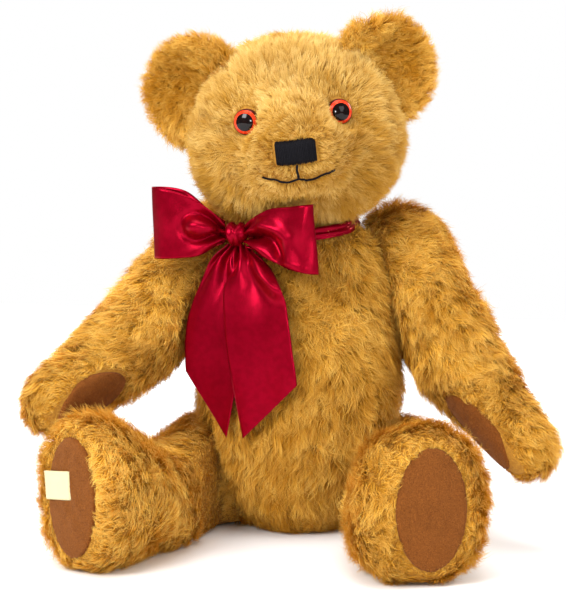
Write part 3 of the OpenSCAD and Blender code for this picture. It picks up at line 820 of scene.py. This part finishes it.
def make_band():
    """The ribbon round the neck, gathered narrow, outside the CAD band's own path."""
    q = to_head(coords(NODES["ribbon_neck_band"]))
    bearing, radius = np.arctan2(q[:, 0], -q[:, 1]), np.hypot(q[:, 0], q[:, 1])
    steps = 120
    stations = []
    for k in range(steps + 1):
        at = 2 * math.pi * k / steps
        turn = np.abs(np.angle(np.exp(1j * (bearing - at))))
        w = np.exp(-(turn / 0.22) ** 2)
        out_by = 4.6 - 4.0 * min(max((abs(math.remainder(at, 2 * math.pi)) - 0.72) / 0.3, 0), 1)
        r = (radius * w).sum() / w.sum() + out_by * MM
        z = (q[:, 2] * w).sum() / w.sum() + 1.0 * MM
        tilt = 0.5 + 0.25 * math.sin(3 * at)
        edges = []
        for s in (-1, 1):
            rr, zz = r - s * 3.2 * MM * math.cos(tilt) * 0.6, z + s * 3.4 * MM
            edges.append(from_head(np.array([math.sin(at) * rr, -math.cos(at) * rr, zz])) / MM)
        stations.append([*edges, 0.7, 2.2, 1.3 * math.sin(2 * at)])
    return ribbon("neck_band_satin", "ribbon_neck_band", stations, across=10, along=241)


neck_band = make_band()
RIBBONS = over_tree(tail_front, tail_back, loop_left, loop_right, knot, neck_band)

# one loop of the bow lies over the right arm, which is a little hollow where that loop
# comes down on it at the top of its swing
RAISED = joint_of["shoulder_right_swing"]["range_deg"][1]
hinge, axle = JOINTS["arm_right"]
RAISE = np.array(Matrix.Rotation(math.radians(RAISED), 3, Vector(axle)))


def raised(p):
    return (p - hinge) @ RAISE.T + hinge


arm = coords(skins["arm_right_skin"])
loop_tree = over_tree(loop_right)
hollow = np.zeros(len(arm))
for p in raised(arm):
    hit = loop_tree.ray_cast(Vector(p), Vector((0, 1, 0)), 10 * MM)
    if hit[0] is not None:
        away = np.linalg.norm(raised(arm) - p, axis=1) / (8 * MM)
        hollow = np.maximum(hollow, (hit[3] + 1.2 * MM) * np.exp(-0.5 * away ** 2))
set_coords(skins["arm_right_skin"], arm + hollow[:, None] * (np.array([0, 1.0, 0]) @ RAISE))


def pressed(p, n, reach=15 * MM):
    """0.3 where ribbon lies over a root, 1 elsewhere."""
    out = np.ones(len(p))
    near = (p[:, 0] > -85 * MM) & (p[:, 0] < 50 * MM) & (p[:, 2] > 50 * MM) & \
        (p[:, 2] < 215 * MM)
    for i in np.nonzero(near)[0]:
        if RIBBONS.ray_cast(Vector(p[i]), Vector(n[i] + [0, -0.35, 0]).normalized(),
                            reach)[0] is not None:
            out[i] = 0.3
    return out


# ---------------------------------------------------------------- eyes
EYE_SHIFT = {"left": (-2.4, 0, -2.0), "right": (0.9, 0, -1.7)}


def eye_axis(side):
    turn, lift = math.radians(18 * side), math.radians(84)
    v = np.array([math.sin(turn) * math.sin(lift), -math.cos(turn) * math.sin(lift),
                  math.cos(lift)])
    return unit(head_dir(v))


def eye_material(name, inner, outer, rough, coat=0.16):
    return grainy(name, outer, 700, 2, [(0.35, inner), (0.65, outer)], rough=rough,
                  Specular_IOR_Level=0.06, Coat_Weight=coat, Coat_Roughness=0.02)


iris = eye_material("eye_amber", (0.70, 0.028, 0.008), (0.90, 0.075, 0.020), 0.25)
pupil = eye_material("eye_black", (0.003, 0.0015, 0.0015), (0.010, 0.003, 0.002), 0.15, 0.45)
rim = eye_material("eye_rim", (0.05, 0.008, 0.004), (0.10, 0.012, 0.005), 0.3)


PUPIL_R, IRIS_R = 5.2, 6.9  # millimetres


def make_eye(side, sign):
    """A dome turned on its axis: pupil, amber ring and dark rim."""
    out = eye_axis(sign)
    co = coords(NODES[f"eye_{side}"])
    mid = co.mean(0)
    base = mid + out * ((co @ out).max() - mid @ out - 4.0 * MM)
    base = base + head_dir(np.array(EYE_SHIFT[side])) * MM
    a = unit(np.cross(out, [0, 0, 1]))
    b = np.cross(out, a)
    radii = [0, 1.2, 2.4, 3.6, 4.6, 5.15, 5.25, 5.8, 6.4, 6.85, 6.95, 7.3, 7.6, 7.6, 7.2]
    cols, verts, faces, kinds = 64, [base + out * 5.9 * MM], [], []
    for k, r in enumerate(radii[1:], 1):
        if k < len(radii) - 2:
            z = 0.7 + 5.0 * math.sqrt(max(0, 1 - (r / 7.85) ** 2))
        else:
            z = (0.0, -2.5)[k - len(radii) + 2]
        for j in range(cols):
            t = 2 * math.pi * j / cols
            verts.append(base + (a * math.cos(t) + b * math.sin(t)) * r * MM + out * z * MM)
    for j in range(cols):
        faces.append((0, 1 + j, 1 + (j + 1) % cols))
        kinds.append(0)
    for k in range(1, len(radii) - 1):
        kinds += [0 if radii[k + 1] < PUPIL_R else 1 if radii[k + 1] < IRIS_R else 2] * cols
    faces += grid(len(radii) - 1, cols, wrap=True, flip=True, first=1)
    obj = new_object(f"eye_{side}_glass", verts, faces)
    place(obj, pupil, "head", "eye_plastic", f"eye_{side}")
    obj.data.materials.append(iris)
    obj.data.materials.append(rim)
    obj.data.polygons.foreach_set("material_index", np.array(kinds, np.int32))
    obj.data.update()
    return base, out


EYE_SEATS = [make_eye("left", 1), make_eye("right", -1)]

# the skin stays below each eye
co = coords(skins["head_skin"])
for base, out in EYE_SEATS:
    high, radial = about(co, base, out)
    sink = np.clip(high + 0.8 * MM, 0, None) * np.clip((13 * MM - radial) / (4 * MM), 0, 1)
    co = co - sink[:, None] * out * (np.linalg.norm(co - base, axis=1) < 30 * MM)[:, None]
set_coords(skins["head_skin"], co)


# ---------------------------------------------------------------- threads
def tube(path, radius, sides):
    """Vertices and faces of a round thread along a path, thin at its ends."""
    path = np.asarray(path, float)
    t = unit(np.gradient(path, axis=0))
    ref = np.array([0.3, 0.2, 1.0]) if abs(t[0][2]) < 0.8 else np.array([1.0, 0.2, 0.1])
    a = unit(np.cross(t, ref))
    b = np.cross(t, a)
    verts = []
    for i, q in enumerate(path):
        r = radius * (0.45 if i in (0, len(path) - 1) else 1)
        for k in range(sides):
            w = 2 * math.pi * k / sides
            verts.append(q + (a[i] * math.cos(w) + b[i] * math.sin(w)) * r)
    faces = grid(len(path), sides, wrap=True)
    faces += [tuple(reversed(range(sides))), tuple(range(len(verts) - sides, len(verts)))]
    return verts, faces


def joined(name, parts):
    verts, faces = [], []
    for v, f in parts:
        faces += [tuple(i + len(verts) for i in g) for g in f]
        verts += list(v)
    return new_object(name, verts, faces)


def thread_material(name, low, high):
    return grainy(name, high, 2500, 3, [(0.3, low), (0.7, high)], (0.5, 0.2 * MM), rough=0.6,
                  Specular_IOR_Level=0.08)


black = thread_material("black_thread", (0.002, 0.002, 0.003), (0.010, 0.009, 0.012))

face_tree = over_tree(skins["head_skin"])


def on_face(x, z, lift):
    """The point of the face seen at x, z of the head's own frame, lifted off the skin."""
    start = from_head(np.array([x, -0.14, z]))
    hit, normal, _, _ = face_tree.ray_cast(Vector(start), Vector(head_dir(np.array([0, 1.0, 0]))))
    return np.array(hit) + np.array(normal) * lift


EYES = [to_head(np.array(centre(f"eye_{side}"))) for side in ("left", "right")]
NOSE = to_head(np.array(centre("nose_stitching")))
NOSE_Z = NOSE[2] - 3.2 * MM
NOSE_W, NOSE_H = 11.4 * MM, 7.0 * MM


def nose_terms(x, z):
    x, z = x / NOSE_W, (z - NOSE_Z) / NOSE_H
    return np.array([np.ones_like(x), x * x, z, z * z, x * x * z])


grid_x, grid_z = [g.ravel() for g in np.meshgrid(np.linspace(-1, 1, 13) * NOSE_W,
                                                 NOSE_Z + np.linspace(-1, 1, 9) * NOSE_H)]
seen = to_head(np.array([on_face(x, z, 0) for x, z in zip(grid_x, grid_z)]))
nose_fit = np.linalg.lstsq(nose_terms(grid_x, grid_z).T, seen[:, 1], rcond=None)[0]


def on_nose(x, z, lift):
    y = nose_terms(np.float64(x), np.float64(z)) @ nose_fit - lift
    return from_head(np.array([x, y, z]))


parts = []
THREADS, THREAD_R = 25, 0.56 * MM
thread_rng = np.random.default_rng(7)
for k in range(THREADS):
    x = (-1 + 2 * (k + 0.5) / THREADS) * NOSE_W
    edge = abs(x) / NOSE_W
    dip = 0.35 * MM * math.sin(x / NOSE_W * 4.4 + 0.5) - 1.3 * MM * edge ** 8
    top_z = NOSE_Z + NOSE_H + dip + 0.15 * MM * math.sin(k * 2.3)
    low_z = NOSE_Z - NOSE_H * (1 - 0.1 * edge ** 4) + 0.25 * MM * math.sin(k * 1.7)
    zs = np.linspace(top_z, low_z, 12)
    crown = 1.7 + 1.3 * (1 - edge ** 4)
    lifts = [crown * MM * (1 - abs(2 * i / 11 - 1) ** 6) + 0.3 * MM for i in range(12)]
    proud = thread_rng.uniform(-0.12, 0.2) * MM
    parts.append(tube([on_nose(x, z, h + proud) for z, h in zip(zs, lifts)], THREAD_R, 8))
nose = joined("nose_threads", parts)
backing = []
for t in np.linspace(1, -1, 14):
    for s in np.linspace(-1, 1, 20):
        lift = 0.1 * MM if max(abs(s), abs(t)) > 0.99 else 2.0 * MM
        backing.append(on_nose(NOSE_W * 0.95 * s, NOSE_Z + NOSE_H * 0.95 * t, lift))
nose_base = new_object("nose_backing", backing, grid(14, 20, flip=True))


HEAD_Z, LIPS_Z = 49, -11.2  # millimetres: the head's middle, and where the lips meet


def mouth_z(x):
    """Height of the mouth line in millimetres below the head's middle."""
    x = abs(x)
    return LIPS_Z - 1.5 * math.sin(math.radians(min(x * 15, 180))) + max(x - 9, 0) ** 2 * 0.008


MOUTH = [(x, HEAD_Z + mouth_z(x)) for x in np.linspace(-19, 19, 60)]
STEM = [(0.2 * math.sin(z), z) for z in np.linspace(HEAD_Z + LIPS_Z, NOSE_Z / MM - 6.0, 10)]
mouth = joined("mouth_threads", [
    tube([on_face(x * MM, z * MM, 2.3 * MM) for x, z in MOUTH], 0.62 * MM, 8),
    tube([on_face(x * MM, z * MM, 2.4 * MM) for x, z in STEM], 0.7 * MM, 8)])
place(nose, black, "head", "black_thread", "nose_stitching")
place(mouth, black, "head", "black_thread", "mouth_stitching")
place(nose_base, black, "head", "black_thread")

# ---------------------------------------------------------------- fur on the head
HEAD_MID = np.array([0, 0, HEAD_Z * MM])


def head_comb(p, n):
    q = to_head(p)
    away = q - (NOSE + np.array([0, 4 * MM, -4 * MM]))
    away[:, 2] *= 1.15
    return head_dir(unit(away) + np.array([0, 0.25, -0.05]))


def by_threads(q, low, high, reach, stem):
    """Whether points of the face are within low to high of the mouth, or stem of its stem."""
    above = q[:, 2] - np.array([(HEAD_Z + mouth_z(x / MM)) * MM for x in q[:, 0]])
    line = (above > low * MM) & (above < high * MM) & (np.abs(q[:, 0]) < reach * MM)
    down = (np.abs(q[:, 0]) < stem * MM) & (above > 0) & (q[:, 2] < NOSE_Z)
    return (line | down) & (q[:, 1] < -45 * MM)


def head_length(p, n):
    """Short on the muzzle, round the eyes and above the mouth."""
    q = to_head(p)
    long = 10.5 * MM - 5.5 * MM * np.clip((-q[:, 1] - 44 * MM) / (22 * MM), 0, 1)
    for eye in EYES:
        long *= np.clip((np.linalg.norm(q - eye, axis=1) - 5.5 * MM) / (14 * MM), 0.3, 1)
    return np.where(by_threads(q, -1, 5, 20.5, 3), long * 0.55, long)


def head_keep(p, n):
    """Not under the nose, mouth and eyes, nor at the neck joint."""
    q = to_head(p)
    nose_w, nose_h = 12.2 * MM, 6.6 * MM
    ok = q[:, 2] > 4.5 * MM
    ok &= ~((np.abs(q[:, 0]) < nose_w) & (np.abs(q[:, 2] - NOSE_Z) < nose_h)
            & (q[:, 1] < -60 * MM))
    ok &= ~by_threads(q, -1, 1, 19.5, 1.1)
    for base, out in EYE_SEATS:
        high, radial = about(p, base, out)
        ok &= ~((radial < 8.3 * MM) & (np.abs(high) < 12 * MM))
    return ok


def head_painted_light_and_shade(p, n):
    """Painted light and shade: darker on the cheeks, chin and sides and round the eyes, lighter on
    the brow and the top of the muzzle, as light from above falls.
    """
    q = to_head(p)
    low = np.clip((0.066 - q[:, 2]) / 0.05, 0, 1)
    side = np.clip((np.abs(q[:, 0]) - 0.022) / 0.035, 0, 1)
    brow = np.clip((q[:, 2] - 0.062) / 0.03, 0, 1)
    socket = sum(np.exp(-(np.linalg.norm(q - e, axis=1) / 0.016) ** 2) for e in EYES)
    return 0.26 * low + 0.16 * side - 0.20 * brow + 0.16 * socket + 0.1


def head_half(front):
    return lambda p, n: head_keep(p, n) & ((to_head(p)[:, 1] < -4 * MM) == front)


for layer in (1, 2):
    fur(f"head_fur_front_{layer}", skins["head_skin"], "head", 70000, head_length, head_comb,
        face_gold, "mohair_plush", 1 + 100 * layer, lean=(30, 66), width=0.29, clump=0.4,
        every=14, keep=head_half(True), curl=0.8, tone=0.56, dark=head_painted_light_and_shade)
fur("head_fur_back", skins["head_skin"], "head", 76000, head_length, head_comb, gold,
    "mohair_plush", 102, lean=(32, 66), width=0.38, clump=0.35, every=14,
    keep=head_half(False))


# ---------------------------------------------------------------- fur on the ears
def ear_fur(side, seed):
    """Combed away from the head and longer at the rim, with painted light at the rim and painted
    shade in its hollow.
    """
    skin = skins[f"ear_{side}_skin"]
    mid, (_, _, flat) = main_axes(to_head(coords(skin)))
    root = mid + (HEAD_MID - mid) * 0.35

    def comb(p, n):
        return head_dir(unit(to_head(p) - root) + np.array([0, 0.15, 0.0]))

    def rim(p):
        return np.clip((about(to_head(p), mid, flat)[1] / MM - 12) / 12, 0, 1)

    fur(f"ear_{side}_fur", skin, "head", 27000,
        lambda p, n: (8 + 3 * rim(p)) * MM, comb, gold, "mohair_plush", seed,
        lean=(44, 74), width=0.32, clump=0.42, rings=5, curl=1.8,
        # painted shade in the ear's hollow, painted light at its rim
        dark=lambda p, n: 0.3 * (1 - rim(p)) - 0.05)


ear_fur("left", 111)
ear_fur("right", 112)


# ---------------------------------------------------------------- fur on the torso
def torso_comb(p, n):
    return np.tile(np.array([0.0, 0.0, -1.0]), (len(p), 1))


FACE = 2 * MM  # nearer than this to a joint's plane is the flat face of a part
HIDDEN = {"head": 32, "arm_left": 20, "arm_right": 20, "leg_left": 24, "leg_right": 24}
LIMBS = [child for child in HIDDEN if child != "head"]


def off_joints(p, children):
    """False on the middle of a joint's face, which no pile covers."""
    ok = np.ones(len(p), bool)
    for child in children:
        away, radial = from_joint(p, child)
        ok &= ~((away < FACE) & (radial < HIDDEN[child] * MM))
    return ok


def beside_joint(p, children):
    """Pile is pressed short on the flat faces that meet at a joint."""
    out = np.ones(len(p))
    for child in children:
        away, radial = from_joint(p, child)
        near = np.clip((away - FACE) / (5 * MM), 0, 1)
        if child.startswith("arm"):
            near = np.maximum(near, 0.6 * np.clip((radial - 24 * MM) / (9 * MM), 0, 1))
        out = np.where(radial < 75 * MM, np.minimum(out, 0.28 + 0.72 * near), out)
    return out


def inside(tree, p, depth=1 * MM):
    """Whether each point is buried in a closed skin."""
    out = np.zeros(len(p), bool)
    for i, q in enumerate(p):
        near, normal, _, _ = tree.find_nearest(Vector(q), 30 * MM)
        out[i] = near is not None and (Vector(q) - near).dot(normal) < -depth
    return out


TORSO_TREE = over_tree(skins["torso_skin"])
THIGHS_TREE = over_tree(skins["leg_left_skin"], skins["leg_right_skin"])


def torso_half(front):
    def keep(p, n):
        ok = off_joints(p, HIDDEN) & (p[:, 2] > 1.5 * MM)
        low = np.nonzero(ok & (p[:, 2] < 72 * MM))[0]
        ok[low] &= ~inside(THIGHS_TREE, p[low])
        return ok & ((p[:, 1] < 0.0) == front)
    return keep


def torso_length(p, n):
    long = 14 * MM - 6 * MM * np.clip((p[:, 2] - 165 * MM) / (20 * MM), 0, 1)
    return long * pressed(p, n) * beside_joint(p, LIMBS)


for part, front, seed in (("front_1", True, 121), ("front_2", True, 221),
                          ("back", False, 122)):
    fur(f"torso_fur_{part}", skins["torso_skin"], "torso", 74000, torso_length, torso_comb,
        gold, "mohair_plush", seed, lean=(46, 82), width=0.33 if front else 0.42, clump=0.38,
        keep=torso_half(front), curl=1.4, tone=0.42,
        # painted shade: the pile is darker towards the bottom of the body
        dark=lambda p, n: 0.2 * np.clip((80 * MM - p[:, 2]) / (70 * MM), 0, 1) - 0.03)


# ---------------------------------------------------------------- fur on the limbs
PAD_NODES = {"arm_left": "paw_left_pad", "arm_right": "paw_right_pad",
             "leg_left": "foot_left_pad", "leg_right": "foot_right_pad"}
TRIM = {"arm_right": 0.16}  # share of the pad's half-length that pile hides at its upper end


def pad_frame(limb):
    """Middle, outward, long and short directions and half-sizes of a limb's felt pad."""
    co = coords(NODES[PAD_NODES[limb]])
    cad_mid, (long_axis, short_axis, out) = main_axes(co)
    mid = sagged(limb, cad_mid) if limb in SAG else cad_mid
    if (mid - JOINTS[limb][0]) @ long_axis < 0:
        long_axis = -long_axis
    half_long = np.abs((co - cad_mid) @ long_axis).max()
    mid = mid + long_axis * TRIM.get(limb, 0) * half_long
    if (mid - coords(NODES[f"{limb}_cover"]).mean(0)) @ out < 0:
        out = -out
    return (mid, out, long_axis, short_axis, half_long * (1 - TRIM.get(limb, 0)),
            np.abs((co - cad_mid) @ short_axis).max())


PADS = {limb: pad_frame(limb) for limb in PAD_NODES}


def pad_reach(limb, p):
    """1 on the rim of the pad, less inside it, and large away from its face."""
    mid, out, long_axis, short_axis, half_long, half_short = PADS[limb]
    d = p - mid
    r = np.hypot((d @ long_axis) / half_long, (d @ short_axis) / half_short)
    return np.where(d @ out > -14 * MM, r, 9)


def limb_fur(limb, seed, count, long, tone):
    """Combed down the limb, and outwards and short round its pad."""
    skin = skins[f"{limb}_skin"]
    mid, out = PADS[limb][:2]
    at = JOINTS[limb][0]
    down = unit(mid - (coords(skin).mean(0) if limb.startswith("leg") else at))

    def comb(p, n):
        d = p - mid
        rim = np.clip(1.6 - pad_reach(limb, p), 0, 1)[:, None]
        outward = unit(d - (d @ out)[:, None] * out)
        return np.tile(down, (len(p), 1)) * (1 - 0.5 * rim) + outward * 0.5 * rim

    def keep(p, n):
        ok = off_joints(p, [limb]) & (pad_reach(limb, p) > 0.97) & \
            ~((p[:, 2] < 2.2 * MM) & (n[:, 2] < -0.8))
        if limb.startswith("leg"):
            near = np.nonzero(ok & (np.linalg.norm(p - at, axis=1) < 45 * MM))[0]
            ok[near] &= ~inside(TORSO_TREE, p[near])
        return ok

    def length(p, n):
        r = pad_reach(limb, p)
        short = pressed(p, n)
        if limb == "arm_right":
            short = np.minimum(short, 0.5 + 0.5 * pressed(raised(p), n @ RAISE.T))
        return long * MM * np.clip(0.26 + (r - 1) * 1.5, 0.24, 1) * short \
            * beside_joint(p, [limb])

    for layer in (1, 2):
        fur(f"{limb}_fur_{layer}", skin, limb, count, length, comb, gold, "mohair_plush",
            seed + 100 * layer, lean=(48, 84), width=0.31, clump=0.38, keep=keep, curl=1.5,
            tone=tone)


# the right arm and leg, on the key light's side, get a lighter tone than the left: painted light
limb_fur("arm_left", 31, 40000, 13, 0.54)
limb_fur("arm_right", 32, 40000, 13, 0.74)
limb_fur("leg_left", 33, 42000, 12.5, 0.56)
limb_fur("leg_right", 34, 42000, 12.5, 0.84)

# ---------------------------------------------------------------- felt pads and the label
felt = grainy("brown_felt", (0.30, 0.12, 0.035), 1600, 5,
              [(0.25, (0.10, 0.026, 0.004)), (0.75, (0.27, 0.084, 0.013))], (0.7, 0.5 * MM),
              rough=0.95, Specular_IOR_Level=0.1, Sheen_Weight=0.12, Sheen_Tint=(1.0, 0.75, 0.5))
# felt fuzz colours from root to tip; the darker roots are painted shade
fuzz_mat = fur_material(
    "felt_fuzz", ((0.10, 0.026, 0.004), (0.16, 0.045, 0.007), (0.22, 0.066, 0.011)),
    ((0.16, 0.045, 0.007), (0.28, 0.09, 0.016), (0.40, 0.15, 0.035)))


def felt_pad(limb, seed):
    """A softly crowned pad, and the short fuzz on it."""
    cad = PAD_NODES[limb]
    obj = remeshed(f"{cad}_felt", node_bm(cad), 1.1 * MM, 6)
    mid, out, long_axis = PADS[limb][:3]
    co = sagged(limb, coords(obj)) if limb in SAG else coords(obj)
    if limb in TRIM:
        along = (co - co.mean(0)) @ long_axis
        co = co + long_axis * ((mid - co.mean(0)) @ long_axis - along * TRIM[limb])[:, None]
    r = np.clip(pad_reach(limb, co), 0, 1)
    crown = (1 - r**2) * (1.6 if limb.startswith("leg") else 1.0) * MM
    puckers = 0.25 * MM * wobble(co, 9 * MM, seed)
    co = co + out * (crown + puckers * (1 - r**2) + 0.5 * MM)[:, None]
    set_coords(obj, co)
    place(obj, felt, limb, "felt", cad)
    fur(f"{cad}_fuzz", obj, limb, 9000, lambda p, n: np.full(len(p), 1.5 * MM),
        lambda p, n: np.tile(long_axis, (len(p), 1)) + 0.8 * np.stack(
            [wobble(p, 8 * MM, seed + k) for k in (1, 2, 3)], 1),
        fuzz_mat, "felt", seed, lean=(55, 80), width=0.16, clump=0.0, every=30,
        keep=lambda p, n: (n @ out > 0.2), curl=0.1, spread=0.35)


for seed, limb in enumerate(PAD_NODES, 141):
    felt_pad(limb, seed)

LABEL_UP, LABEL_ACROSS = 2.0 * MM, -7.5 * MM  # from the CAD label's place
LABEL_SIZE = (22 * MM, 15.5 * MM)


def make_label():
    """A blank woven tape label, its short ends turned under, sewn down at its edges."""
    out = PADS["leg_right"][1]
    c, (x_ax, y_ax, _) = main_axes(coords(NODES["foot_label"]))
    c = c + LABEL_UP * np.array([0, 0, 1.0]) + LABEL_ACROSS * unit(np.cross([0, 0, 1.0], out))
    x_ax, y_ax = x_ax * LABEL_SIZE[0] / 2, y_ax * LABEL_SIZE[1] / 2
    cols, lines = 43, 27
    verts = []
    for t in np.linspace(-1, 1, lines):
        for s in np.linspace(-1, 1, cols):
            lift = 1.9 * MM + 0.35 * MM * (1 - s * s) + 0.12 * MM * math.sin(5 * s + 2 * t)
            if abs(s) > 0.93 or abs(t) > 0.93:
                lift -= 0.5 * MM
            verts.append(c + x_ax * s + y_ax * t + out * lift)
    obj = thicken(new_object("foot_label_tape", verts, grid(lines, cols)), 0.5 * MM)
    m = material("woven_tape", (0.80, 0.74, 0.48), rough=0.8)
    weave = texture(m, "Wave", {"Scale": 700, "Distortion": 1.0}, bands_direction="Z")
    base_color(m, ramp(m, [(0.2, (0.58, 0.51, 0.26)), (0.8, (0.84, 0.77, 0.46))], weave))
    bump(m, weave, 0.5, 0.2 * MM)
    place(obj, m, "leg_right", "woven_label", "foot_label")
    parts = []
    for s in (-0.95, 0.95):
        for t in np.linspace(-0.9, 0.9, 9):
            a = c + x_ax * (s - 0.03) + y_ax * t + out * 1.9 * MM
            b = c + x_ax * (s + 0.03) + y_ax * (t + 0.08) + out * 1.9 * MM
            parts.append(tube([a, (a + b) / 2 + out * 0.25 * MM, b], 0.16 * MM, 5))
    thread = thread_material("cream_thread", (0.55, 0.48, 0.28), (0.82, 0.76, 0.52))
    place(joined("foot_label_stitches", parts), thread, "leg_right", "woven_label")
    return obj


label = make_label()

# ---------------------------------------------------------------- what is inside
board = grainy("hardboard", (0.36, 0.23, 0.12), 420, 5,
               [(0.3, (0.26, 0.15, 0.07)), (0.7, (0.48, 0.32, 0.18))], (0.3, 0.3 * MM), rough=0.75)
steel = grainy("zinc_steel", (0.6, 0.62, 0.64), 320, 4,
               [(0.3, (0.50, 0.52, 0.54)), (0.7, (0.72, 0.74, 0.75))], (0.15, 0.2 * MM),
               rough=0.35, Metallic=1.0)
nylon = grainy("white_nylon", (0.8, 0.8, 0.77), 260, 2,
               [(0.3, (0.74, 0.74, 0.71)), (0.7, (0.84, 0.84, 0.81))], rough=0.45)
for name, o in NODES.items():
    if name.endswith("_disc"):
        kind = board
    elif name == "eye_lock_washers":
        kind = nylon
    elif name.endswith(("_washer", "_washers", "_bolt", "_nut")):
        kind = steel
    else:
        continue
    o.data.materials.clear()
    o.data.materials.append(kind)


# ---------------------------------------------------------------- floor and light
SKY, SKY_IN_GLOSS, SKY_SEEN = 0.77, 0.22, 1.0


def studio():
    """White paper, a white sky that is dim in reflections, and area lights."""
    reach = 1.1
    floor = new_object("floor", [(-reach, -reach, 0), (reach, -reach, 0), (reach, reach, 0),
                                 (-reach, reach, 0)], [(0, 1, 2, 3)], smooth=False)
    floor.data.materials.append(grainy(
        "floor_paper", (0.95, 0.95, 0.95), 3, 3,
        [(0.4, (0.945, 0.945, 0.945)), (0.6, (0.96, 0.96, 0.96))], rough=0.95,
        Specular_IOR_Level=0.1))
    world = bpy.data.worlds.new("studio")
    scene.world = world
    world.use_nodes = True
    tree = world.node_tree
    path = tree.nodes.new("ShaderNodeLightPath")

    def sky(strength):
        n = tree.nodes.new("ShaderNodeBackground")
        n.inputs["Color"].default_value = (1, 1, 1, 1)
        n.inputs["Strength"].default_value = strength
        return n.outputs[0]

    def choose(ray, other, when):
        n = tree.nodes.new("ShaderNodeMixShader")
        tree.links.new(path.outputs[ray], n.inputs["Fac"])
        tree.links.new(other, n.inputs[1])
        tree.links.new(when, n.inputs[2])
        return n.outputs[0]

    light = choose("Is Glossy Ray", sky(SKY), sky(SKY_IN_GLOSS))
    seen = choose("Is Camera Ray", light, sky(SKY_SEEN))
    tree.links.new(seen, tree.nodes["World Output"].inputs["Surface"])
    for name, at, size, power in (
            ("key", (-0.7, -1.6, 1.25), 0.8, 33),
            ("fill", (1.6, -1.2, 0.9), 1.0, 9),
            ("top", (0.0, -0.3, 1.9), 1.2, 19),
            ("rim left", (1.1, 1.3, 0.9), 0.6, 17),
            ("rim right", (-1.1, 1.3, 0.9), 0.6, 11),
            ("glint", scene.camera.location + Vector((0.02, 0, 0.06)), 0.16, 4)):
        light = bpy.data.lights.new(name, "AREA")
        light.size = size
        light.energy = power
        o = bpy.data.objects.new(name, light)
        o.location = at
        o.visible_diffuse = name != "glint"
        o.rotation_euler = (Vector((0, 0, 0.13)) - Vector(at)).to_track_quat("-Z", "Y").to_euler()
        scene.collection.objects.link(o)


studio()
scene.view_settings.view_transform = "Standard"
scene.view_settings.look = "None"
